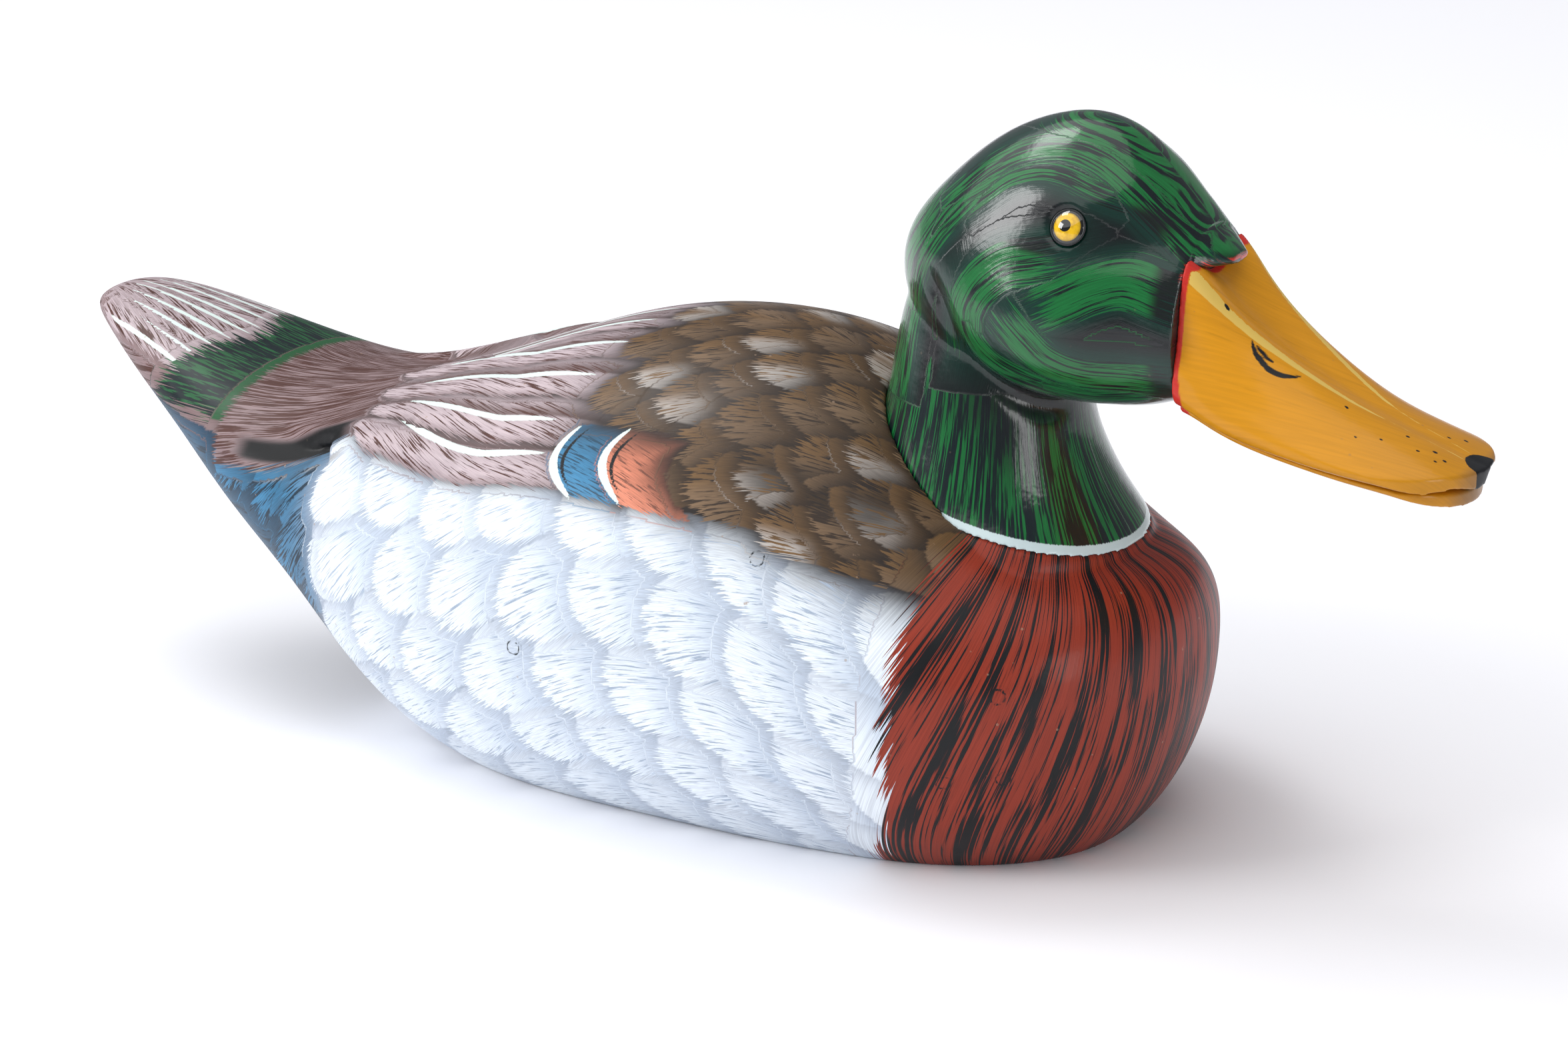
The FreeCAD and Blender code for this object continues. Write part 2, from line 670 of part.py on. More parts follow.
def two_circles(sketch, radius):
    """A circle at each ballast screw."""
    reach = half("ballast_pitch")
    draw_circle(sketch, radius, x=reach)
    draw_circle(sketch, radius, x=("-" + reach[0], -reach[1]))


ballast_weight = new_body("ballast_weight")
sketch = new_sketch(ballast_weight, "XY_Plane", "BarSection")
rectangle(sketch, half("weight_length"), half("weight_width"))
bar = pad(ballast_weight, sketch, dim("weight_thickness"))
upright = ["Edge%d" % (i + 1) for i, edge in enumerate(bar.Shape.Edges)
           if abs(edge.BoundBox.ZLength - SIZE["weight_thickness"]) < 1e-6]
corners = ballast_weight.newObject("PartDesign::Fillet", "Corners")
corners.Base = (bar, upright)
corners.setExpression("Radius", "Dims.weight_corner")
document.recompute()
sketch = new_sketch(ballast_weight, "XY_Plane", "ScrewHoles")
two_circles(sketch, dim("clearance_radius"))
pocket_up(ballast_weight, sketch)
sketch = new_sketch(ballast_weight, "XY_Plane", "Counterbores")
two_circles(sketch, dim("counterbore_radius"))
pocket_up(ballast_weight, sketch, dim("counterbore"))
place(ballast_weight, x=dim("weight_x"), z=dim("weight_recess"))

ballast_screws = new_body("ballast_screws", many_solids=True)
sketch = new_sketch(ballast_screws, "XY_Plane", "ScrewHeads")
two_circles(sketch, dim("ballast_head"))
pad(ballast_screws, sketch, dim("ballast_head_height"))
sketch = new_sketch(ballast_screws, "XY_Plane", "ScrewShanks")
two_circles(sketch, dim("ballast_shank"))
pad(ballast_screws, sketch, dim("ballast_head_height", "ballast_reach"), "Shanks")
sketch = new_sketch(ballast_screws, "XY_Plane", "DriverSlots")
rectangle(sketch, half("weight_length"), half("slot_width"))
pocket_up(ballast_screws, sketch, dim("slot_depth"))
place(ballast_screws, x=dim("weight_x"), z=dim("weight_recess", "counterbore", "-ballast_head_height"))

# The staple: a wire bow across the pocket with two legs up into the wood.
staple = new_body("line_tie_staple")
path = new_sketch(staple, "YZ_Plane", "StaplePath")
span, leg, bend = SIZE["staple_half_span"], SIZE["staple_leg"], SIZE["staple_bend"]
bend_angle = math.pi / 2
left_bend = Part.Circle(Vector(bend - span, bend, 0), Vector(0, 0, 1), bend)
right_bend = Part.Circle(Vector(span - bend, bend, 0), Vector(0, 0, 1), bend)
path.addGeometry(Part.LineSegment(Vector(-span, leg, 0), Vector(-span, bend, 0)), False)
path.addGeometry(Part.ArcOfCircle(left_bend, 2 * bend_angle, 3 * bend_angle), False)
path.addGeometry(Part.LineSegment(Vector(bend - span, 0, 0), Vector(span - bend, 0, 0)), False)
path.addGeometry(Part.ArcOfCircle(right_bend, 3 * bend_angle, 4 * bend_angle), False)
path.addGeometry(Part.LineSegment(Vector(span, bend, 0), Vector(span, leg, 0)), False)
for piece in range(4):
    constrain(path, "Tangent", piece, 2, piece + 1, 1)
constrain(path, "Radius", 1, bend, expression="Dims.staple_bend")
constrain(path, "Radius", 3, bend, expression="Dims.staple_bend")
constrain(path, "PointOnObject", 2, 1, -1)
fix_point(path, 0, 1, dim("-staple_half_span"), dim("staple_leg"))
fix_point(path, 4, 2, dim("staple_half_span"), dim("staple_leg"))
section = new_sketch(staple, "XY_Plane", "StapleSection")
section.setExpression("AttachmentOffset.Base.z", "Dims.staple_leg")
draw_circle(section, dim("staple_wire"), y=dim("-staple_half_span"))
document.recompute()
pipe = staple.newObject("PartDesign::AdditivePipe", "Wire")
pipe.Profile = section
pipe.Spine = (path, ["Edge1", "Edge2", "Edge3", "Edge4", "Edge5"])
document.recompute()
place(staple, x=dim("tie_x"), z=dim("pivot_height"))

# The ring hangs on the bow, with a little play.
ring = document.addObject("Part::Torus", "line_tie_ring")
ring.Label = "line_tie_ring"
ring.setExpression("Radius1", "Dims.ring_radius")
ring.setExpression("Radius2", "Dims.ring_wire")
ring.Placement = Placement(Vector(0, 0, 0), Rotation(Vector(1, 0, 0), 90))
drop = dim("pivot_height", "-ring_radius", "ring_wire", "staple_wire", "ring_play")
place(ring, x=dim("tie_x"), z=drop)
parts.append(ring)

document.recompute()
for item in document.Objects:
    if "Invalid" in item.State or "Error" in item.State:
        raise RuntimeError("%s: %s" % (item.Label, item.State))
for part in parts:
    if part.Shape.isNull() or not part.Shape.isValid() or not part.Shape.Solids:
        raise RuntimeError(part.Label + " has no valid solid")

os.makedirs("parts", exist_ok=True)
for part in parts:
    part.Shape.exportStep("parts/%s.step" % part.Label)
    print("%-16s %2d solids %9.1f mm3" % (part.Label, len(part.Shape.Solids), part.Shape.Volume))
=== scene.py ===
import math

import bpy
import numpy as np
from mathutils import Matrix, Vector
from mathutils.bvhtree import BVHTree


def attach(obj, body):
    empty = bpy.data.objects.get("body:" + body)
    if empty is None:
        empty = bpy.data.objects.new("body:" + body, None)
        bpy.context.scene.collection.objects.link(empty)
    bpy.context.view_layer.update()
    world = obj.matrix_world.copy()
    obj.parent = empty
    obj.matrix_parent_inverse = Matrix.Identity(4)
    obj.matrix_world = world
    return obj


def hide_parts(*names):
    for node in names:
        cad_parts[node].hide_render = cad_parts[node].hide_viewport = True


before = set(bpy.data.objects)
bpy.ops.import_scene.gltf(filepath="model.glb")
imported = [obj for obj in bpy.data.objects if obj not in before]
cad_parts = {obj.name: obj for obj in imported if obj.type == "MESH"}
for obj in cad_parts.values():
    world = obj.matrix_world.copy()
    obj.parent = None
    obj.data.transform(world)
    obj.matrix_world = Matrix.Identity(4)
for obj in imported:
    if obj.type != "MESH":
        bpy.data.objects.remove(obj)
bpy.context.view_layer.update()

# Floating mallard decoy: hand-painted, varnished wood.  +X is forward (the bill),
# +Y the duck's left, +Z up.  Lengths are metres in Blender; the painting below is
# laid out in millimetres.
MM = 0.001
BODY = "decoy"

EVERYWHERE = 20.0    # edge of a colour that covers a whole piece
NO_LINE = -5.0       # value of the line and ink layers where nothing is drawn
FAR = 500.0          # distance to a path that is too far away to matter


# ---- colours

def paint(red, green, blue):
    """Linear colour from the 0-255 value that a colour card would show."""
    values = np.array([red, green, blue], float) / 255
    return np.where(values <= 0.04045, values / 12.92, ((values + 0.055) / 1.055) ** 2.4)


BLACK = paint(16, 18, 21)
TEAL_BLACK = paint(10, 26, 30)
HEAD_GREEN = paint(20, 104, 50)
DEEP_GREEN = paint(10, 56, 44)
WHITE_FLANK = paint(230, 238, 245)
FLANK_SHADE = paint(178, 194, 214)
FLANK_BROWN = paint(120, 116, 120)
BREAST_RED = paint(142, 50, 32)
BACK_BROWN = paint(112, 84, 52)
BACK_DARK = paint(38, 30, 26)
PALE_TIP = paint(186, 180, 174)
MAUVE = paint(158, 138, 140)
MAUVE_LIGHT = paint(188, 172, 176)
MAUVE_DARK = paint(78, 48, 42)
BLUE = paint(62, 128, 168)
SALMON = paint(214, 132, 104)
TAIL_BLUE = paint(48, 88, 116)
TAIL_BLUE_DARK = paint(26, 46, 62)
RUMP_GREEN = paint(30, 88, 50)
BARE_WOOD = paint(160, 134, 112)
SHAFT_CREAM = paint(214, 228, 224)
RING_WHITE = paint(198, 216, 218)
BILL_OCHRE = paint(206, 140, 24)
BILL_RIDGE_HIGHLIGHT = paint(216, 182, 92)
GAPE_RED = paint(196, 48, 40)


def smooth(value, low, high):
    """0 below low, 1 above high, and a smooth step between them."""
    t = np.clip((value - low) / (high - low), 0, 1)
    return t * t * (3 - 2 * t)


def mix(a, b, amount):
    """Colour between a and b; an array of amounts gives one colour per point."""
    return a + (b - a) * np.asarray(amount)[..., None]


# ---- surfaces

def linked(name, data):
    """New object in the scene."""
    thing = bpy.data.objects.new(name, data)
    bpy.context.scene.collection.objects.link(thing)
    return thing


def node_arrays(*nodes):
    """Corners (in mm) and faces of CAD nodes, joined."""
    corners, faces, start = [], [], 0
    for node in nodes:
        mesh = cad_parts[node].data
        co = np.empty(len(mesh.vertices) * 3)
        mesh.vertices.foreach_get("co", co)
        corners.append(co.reshape(-1, 3) / MM)
        faces += [[start + i for i in polygon.vertices] for polygon in mesh.polygons]
        start += len(mesh.vertices)
    return np.concatenate(corners), faces


def remeshed(corners, faces, voxel):
    """One even skin of quads over a closed mesh, as numpy arrays in mm."""
    mesh = bpy.data.meshes.new("skin_source")
    mesh.from_pydata(corners.tolist(), [], faces)
    source = linked("skin_source", mesh)
    modifier = source.modifiers.new("Skin", "REMESH")
    modifier.mode = "VOXEL"
    modifier.voxel_size = voxel
    shape = source.evaluated_get(bpy.context.evaluated_depsgraph_get()).to_mesh()
    co = np.empty(len(shape.vertices) * 3)
    shape.vertices.foreach_get("co", co)
    quads = np.empty(len(shape.loops), np.int64)
    shape.loops.foreach_get("vertex_index", quads)
    co, quads = co.reshape(-1, 3), quads.reshape(-1, 4)
    bpy.data.objects.remove(source)
    bpy.data.meshes.remove(mesh)
    return co, quads


def edges_of(quads):
    """Every edge of every quad, as a pair of corner numbers."""
    return np.concatenate([quads[:, [i, (i + 1) % 4]] for i in range(4)])


def island_labels(count, pairs):
    """One number per connected island of points."""
    label = np.arange(count)
    while True:
        lowest = label.copy()
        np.minimum.at(lowest, pairs[:, 0], label[pairs[:, 1]])
        np.minimum.at(lowest, pairs[:, 1], label[pairs[:, 0]])
        lowest = lowest[lowest]
        lowest = lowest[lowest]
        if (lowest == label).all():
            return label
        label = lowest


def outer_skin(co, quads):
    """Only the largest connected skin: the hollow inside is left out."""
    label = island_labels(len(co), edges_of(quads))
    names, sizes = np.unique(label, return_counts=True)
    keep = label == names[sizes.argmax()]
    renumber = np.cumsum(keep) - 1
    quads = quads[keep[quads[:, 0]]]
    return co[keep], renumber[quads]


SOFTEN_STEP = 0.6    # how far each round moves a vertex towards the middle of its neighbours


def softened(co, quads, rounds, weight):
    """Laplacian smoothing; a weight of 0 holds a vertex still."""
    pairs = edges_of(quads)
    count = np.bincount(pairs[:, 0], minlength=len(co)).astype(float)
    for _ in range(rounds):
        total = np.stack([np.bincount(pairs[:, 0], co[pairs[:, 1], k], len(co)) for k in range(3)], 1)
        step = SOFTEN_STEP * (total / count[:, None] - co)
        co = co + step * weight[:, None]
    return co


def vertex_normals(co, quads):
    a, b, c, d = (co[quads[:, k]] for k in range(4))
    face = np.cross(c - a, d - b)
    total = np.zeros_like(co)
    for k in range(4):
        for axis in range(3):
            total[:, axis] += np.bincount(quads[:, k], face[:, axis], len(co))
    return total / np.maximum(np.linalg.norm(total, axis=1), 1e-12)[:, None]


def make_piece(name, co, faces, material, layers=None, normals=None, keep=None):
    """Mesh object on the decoy's body from arrays in mm; keep picks some of the faces."""
    faces = np.asarray(faces)
    if keep is not None:
        faces = faces[keep]
        used = np.unique(faces)
        renumber = np.zeros(len(co), np.int64)
        renumber[used] = np.arange(len(used))
        faces, co = renumber[faces], co[used]
        normals = None if normals is None else normals[used]
        layers = {key: value[used] for key, value in (layers or {}).items()}
    mesh = bpy.data.meshes.new(name)
    mesh.vertices.add(len(co))
    mesh.vertices.foreach_set("co", (co * MM).ravel())
    size = faces.shape[1]
    mesh.loops.add(faces.size)
    mesh.loops.foreach_set("vertex_index", faces.ravel().astype(np.int32))
    mesh.polygons.add(len(faces))
    mesh.polygons.foreach_set("loop_start", np.arange(0, faces.size, size, dtype=np.int32))
    mesh.update(calc_edges=True)
    mesh.validate()
    mesh.shade_smooth()
    for key, value in (layers or {}).items():
        kind, part = ("FLOAT_COLOR", "color") if value.shape[1] == 4 else ("FLOAT_VECTOR", "vector")
        layer = mesh.attributes.new(key, kind, "POINT")
        layer.data.foreach_set(part, value.astype(np.float32).ravel())
    if normals is not None:
        mesh.normals_split_custom_set_from_vertices(normals.tolist())
    piece = linked(name, mesh)
    mesh.materials.append(material)
    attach(piece, BODY)
    return piece


# ---- painting

STROKE_STEP = 1.37    # step through the noise from one stroke's hairs to the next one's
SIDE_STEP = 57.3      # and from the right side's to the left side's


class Canvas:
    """Layers of brushwork, kept per vertex; the shader turns them into hairs.

    over/under: the colour in front and the colour it was painted on.
    edge: how far inside the front colour's outline a point lies, in mm.
    strand and density: colour and amount of the fine hairs drawn over it.
    fringe: how ragged its outline is.
    hair: running coordinates across and along the hairs, and the brush stroke's number.
    line, ink: how far inside a pale or dark drawn line a point lies, in mm.
    gloss: how much varnish there is.
    """

    def __init__(self, count, seed):
        self.random = np.random.default_rng(seed)
        self.over = np.tile(BLACK, (count, 1))
        self.under = self.over.copy()
        self.strand = self.over.copy()
        self.density = np.zeros(count)
        self.fringe = np.ones(count)
        self.edge = np.full(count, EVERYWHERE)
        self.hair = np.zeros((count, 3))
        self.line = np.full(count, NO_LINE)
        self.ink = np.full(count, NO_LINE)
        self.gloss = np.full(count, 0.5)
        self.strokes = 0

    def fill(self, edge, colour, strand, density, across, along, fringe=1.0, reach=3.0,
             shadow=None, shadow_amount=0.3, shadow_width=3.0, where=None):
        """Lay one colour over the others where edge is positive, hair-broken at its rim."""
        edge = np.broadcast_to(edge, self.edge.shape) if where is None else edge
        index = np.arange(len(self.edge)) if where is None else where
        if shadow is not None:
            fall = shadow_amount * np.exp(np.minimum(edge, 0) / shadow_width)
            near = edge > -4 * shadow_width
            spot = index[near]
            self.over[spot] = mix(self.over[spot], shadow, fall[near])
            self.under[spot] = mix(self.under[spot], shadow, fall[near])
        inside = edge > -reach
        spot = index[inside]
        shown = np.where((self.edge[spot] >= 0)[:, None], self.over[spot], self.under[spot])
        self.under[spot] = shown
        self.strokes += 1
        for layer, value in (
            (self.over, colour), (self.strand, strand), (self.density, density), (self.edge, edge),
            (self.fringe, fringe), (self.hair[:, 0], across), (self.hair[:, 1], along),
            (self.hair[:, 2], self.strokes * STROKE_STEP),
        ):
            layer[spot] = np.broadcast_to(value, (len(index), *layer.shape[1:]))[inside]
        covered = index[edge > 0]
        self.line[covered] = NO_LINE
        self.ink[covered] = NO_LINE

    def tint(self, colour, amount):
        """Wash a colour over the one in front."""
        self.over = mix(self.over, colour, amount)

    def layers(self, side):
        """Attribute layers for the mesh; side keeps the two sides' hairs different."""
        hair = self.hair.copy()
        hair[:, 2] += np.where(side > 0, SIDE_STEP, 0)
        return {
            "over": np.concatenate([self.over, self.density[:, None]], 1),
            "under": np.concatenate([self.under, self.gloss[:, None]], 1),
            "strand": np.concatenate([self.strand, self.fringe[:, None]], 1),
            "field": np.stack([self.edge, self.line, self.ink], 1),
            "hair": hair,
        }


def curved(path, per_span=6):
    """Smooth curve through the points of a path."""
    points = np.asarray(path, float)
    if len(points) < 3:
        return points
    ends = np.concatenate([[2 * points[0] - points[1]], points, [2 * points[-1] - points[-2]]])
    t = np.linspace(0, 1, per_span, endpoint=False)[:, None]
    spans = [0.5 * (2 * b + (c - a) * t + (2 * a - 5 * b + 4 * c - d) * t ** 2
                    + (3 * b - a - 3 * c + d) * t ** 3)
             for a, b, c, d in zip(ends[:-3], ends[1:-2], ends[2:-1], ends[3:])]
    return np.concatenate(spans + [points[-1:]])


def along_path(u, v, path, margin=18.0):
    """Distance along a path, signed distance across it, and its whole length."""
    path = curved(path)
    low, high = path.min(axis=0) - margin, path.max(axis=0) + margin
    near = np.nonzero((u > low[0]) & (u < high[0]) & (v > low[1]) & (v < high[1]))[0]
    near_u, near_v = u[near], v[near]
    best = np.full(len(near), np.inf)
    run, side = np.zeros(len(near)), np.zeros(len(near))
    start = 0.0
    last = len(path) - 2
    for k, (a, b) in enumerate(zip(path[:-1], path[1:])):
        step = b - a
        length = np.hypot(*step)
        du, dv = near_u - a[0], near_v - a[1]
        t = (du * step[0] + dv * step[1]) / length
        held = np.clip(t, -np.inf if k == 0 else 0, np.inf if k == last else length)
        off = (du * step[1] - dv * step[0]) / length
        away = np.hypot(off, t - held)
        nearer = away < best
        best = np.where(nearer, away, best)
        side = np.where(nearer, np.copysign(away, off), side)
        run = np.where(nearer, start + held, run)
        start += length
    along, across = np.full(len(u), -FAR), np.full(len(u), FAR)
    along[near], across[near] = run, side
    return along, across, start


def feather(canvas, u, v, tip, length, half_width, droop, colour, tip_colour, strand, density,
            shadow, shadow_amount=0.35, lower_tip=False, freq=1.9, fringe=1.0, roundness=0.6,
            patch=(0.1, 0.9), tip_strand=None, limit=None):
    """One painted feather: round tip towards the tail, hairs that fan out from its base.

    The tip's colour fades in over the patch, given in parts of the tip's length; lower_tip
    keeps it to the lower half.  Nothing is painted where limit is negative.
    """
    reach = length + 14
    near = np.nonzero((np.abs(u - tip[0]) < reach) & (np.abs(v - tip[1]) < reach))[0]
    if not len(near):
        return
    turn = math.radians(droop)
    ahead = np.array([-math.cos(turn), math.sin(turn)])
    sideways = np.array([ahead[1], -ahead[0]])
    tip_length = roundness * length
    du = u[near] - tip[0] + ahead[0] * tip_length
    dv = v[near] - tip[1] + ahead[1] * tip_length
    s = du * ahead[0] + dv * ahead[1]
    t = du * sideways[0] + dv * sideways[1]
    radius = np.sqrt((np.maximum(s, 0) / tip_length) ** 2 + (t / half_width) ** 2)
    edge = (1 - radius) * min(half_width, tip_length)
    edge = np.minimum(edge, s + length - tip_length)
    if limit is not None:
        edge = np.minimum(edge, limit[near])
    pivot = 1.25 * length
    across = np.arctan2(t, s + pivot) * pivot * freq
    along = np.hypot(t, s + pivot) / 8
    pale = smooth(s / tip_length, *patch)
    if lower_tip:
        low = t if sideways[1] > 0 else -t
        pale = pale * smooth(low / half_width, -0.35, 0.25)
    if tip_strand is not None:
        strand = mix(strand, tip_strand, pale)
    canvas.fill(edge, mix(colour, tip_colour, pale), strand, density, across, along, fringe,
                shadow=shadow, shadow_amount=shadow_amount, shadow_width=3.2, where=near)


def drawn_line(u, v, path, half_width, taper=0.25):
    """How far inside a brush line a point lies; the line thins towards both ends."""
    along, across, length = along_path(u, v, path)
    end = np.minimum(along, length - along) / (taper * length)
    width = half_width * np.sqrt(np.clip(end, 0, 1))
    away = np.hypot(across, np.maximum(0, -along) + np.maximum(0, along - length))
    return np.where((along > 0) & (along < length), width - away, -away - 0.2)


# ---- body

VOXEL_BODY = 0.72
SPINE_LOW = 42.0      # height that sections are measured from, along the breast and flanks
SPINE_TAIL = 88.0     # the same at the tip of the tail
SHOULDER_X = 34.0     # the back is whole behind this place and cut by the neck's seat ahead of it
SHOULDER_FALL = 0.53  # slope of the back's line from there to the breast


def spine(x):
    return SPINE_LOW + (SPINE_TAIL - SPINE_LOW) * smooth(-x, 90, 197)


def sliding(pick, radii, window):
    """The pick (a mean, say) of the radii round each place along X."""
    padded = np.pad(radii, ((window // 2, window // 2), (0, 0)), mode="edge")
    return pick(np.lib.stride_tricks.sliding_window_view(padded, window, axis=0), axis=2)


def girth_table(co, quads):
    """Distance over the skin from the top line, for each place along X and each angle."""
    tree = BVHTree.FromPolygons(co.tolist(), quads.tolist())
    places = np.linspace(co[:, 0].min() + 0.8, co[:, 0].max() - 0.8, 150)
    angles = np.linspace(0, math.pi, 81)
    radii = np.ones((len(places), len(angles)))
    for i, x in enumerate(places):
        centre = Vector((x, 0, spine(x)))
        for j, angle in enumerate(angles):
            out = Vector((0, -math.sin(angle), math.cos(angle)))
            hit = tree.ray_cast(centre + out * 200, -out)[0]
            if hit is not None:
                radii[i, j] = (hit - centre).length
    # Narrow dips along X are filled, so that bored holes don't count as skin.
    radii = sliding(np.mean, sliding(np.min, sliding(np.max, radii, 11), 11), 7)
    across, up = radii * np.sin(angles), radii * np.cos(angles)
    steps = np.hypot(np.diff(across, axis=1), np.diff(up, axis=1))
    table = np.concatenate([np.zeros((len(places), 1)), np.cumsum(steps, axis=1)], axis=1)

    # The neck's seat cuts the top line short, so ahead of it the line is carried on as a slope.
    side = len(angles) // 2
    start = np.searchsorted(places, SHOULDER_X)
    rise = np.maximum(radii[start, 0] - SHOULDER_FALL * (places - SHOULDER_X), 12)
    quarter = np.hypot(radii[:, side], rise)
    carried = table[start, side] * quarter / quarter[start]
    table[start:] += (carried - table[:, side])[start:, None]
    return places, angles, table, radii


def look_up(table, places, angles, x, angle):
    i = np.clip((x - places[0]) / (places[1] - places[0]), 0, len(places) - 1.001)
    j = np.clip((angle - angles[0]) / (angles[1] - angles[0]), 0, len(angles) - 1.001)
    a, b = i.astype(int), j.astype(int)
    p, q = i - a, j - b
    return ((1 - p) * (1 - q) * table[a, b] + p * (1 - q) * table[a + 1, b]
            + (1 - p) * q * table[a, b + 1] + p * q * table[a + 1, b + 1])


# Outline of the flank's top, from the wing's end to the breast: (x, girth) in mm.
FLANK_TOP = ((-120, 50), (-75, 50), (-40, 66), (10, 72), (45, 66), (80, 52))
# Rear border of the breast: (girth, x).
BREAST_BORDER = ((0, 86), (50, 79), (110, 74), (140, 66))

SPECULUM_TOP, SPECULUM_BOTTOM = 52.5, 73.0
BLUE_X, SALMON_X, BROWN_X = -18.0, -4.0, 16.0    # where each colour starts, and where the back starts

FEATHER_PITCH = 19.0     # brown back feathers: step along X
FEATHER_ROW = 10.5       # and step between rows, over the girth
FLANK_PITCH = 21.0       # the same two steps for the white flank feathers
FLANK_ROW = 18.5


def crescent(place, bulge=5.0, lean=5.0, count=7):
    """Arc on the speculum that bows to the rear, from its top edge to its bottom edge."""
    points = []
    for step in range(count):
        part = step / (count - 1)
        bow = bulge * math.sin(math.pi * part)
        level = SPECULUM_TOP + part * (SPECULUM_BOTTOM - SPECULUM_TOP)
        points.append((place + lean * part * part - bow + 0.5 * bulge, level))
    return tuple(points)


def back_feathers(random):
    """Tips of the brown feathers in staggered rows: x, girth, and how pale the tip is."""
    tips = []
    for row in range(7):
        level = 3 + FEATHER_ROW * row
        shift = 0.5 * FEATHER_PITCH * (row % 2)
        for column in range(6):
            place = -18 + shift + FEATHER_PITCH * column + random.uniform(-2, 2)
            pale = 1.0 if (row + 2 * column) % 3 == 0 else 0.1
            tips.append((place, level + random.uniform(-1.5, 1.5), pale * random.uniform(0.7, 1)))
    return sorted(tips, key=lambda tip: tip[0] - 0.5 * tip[1])


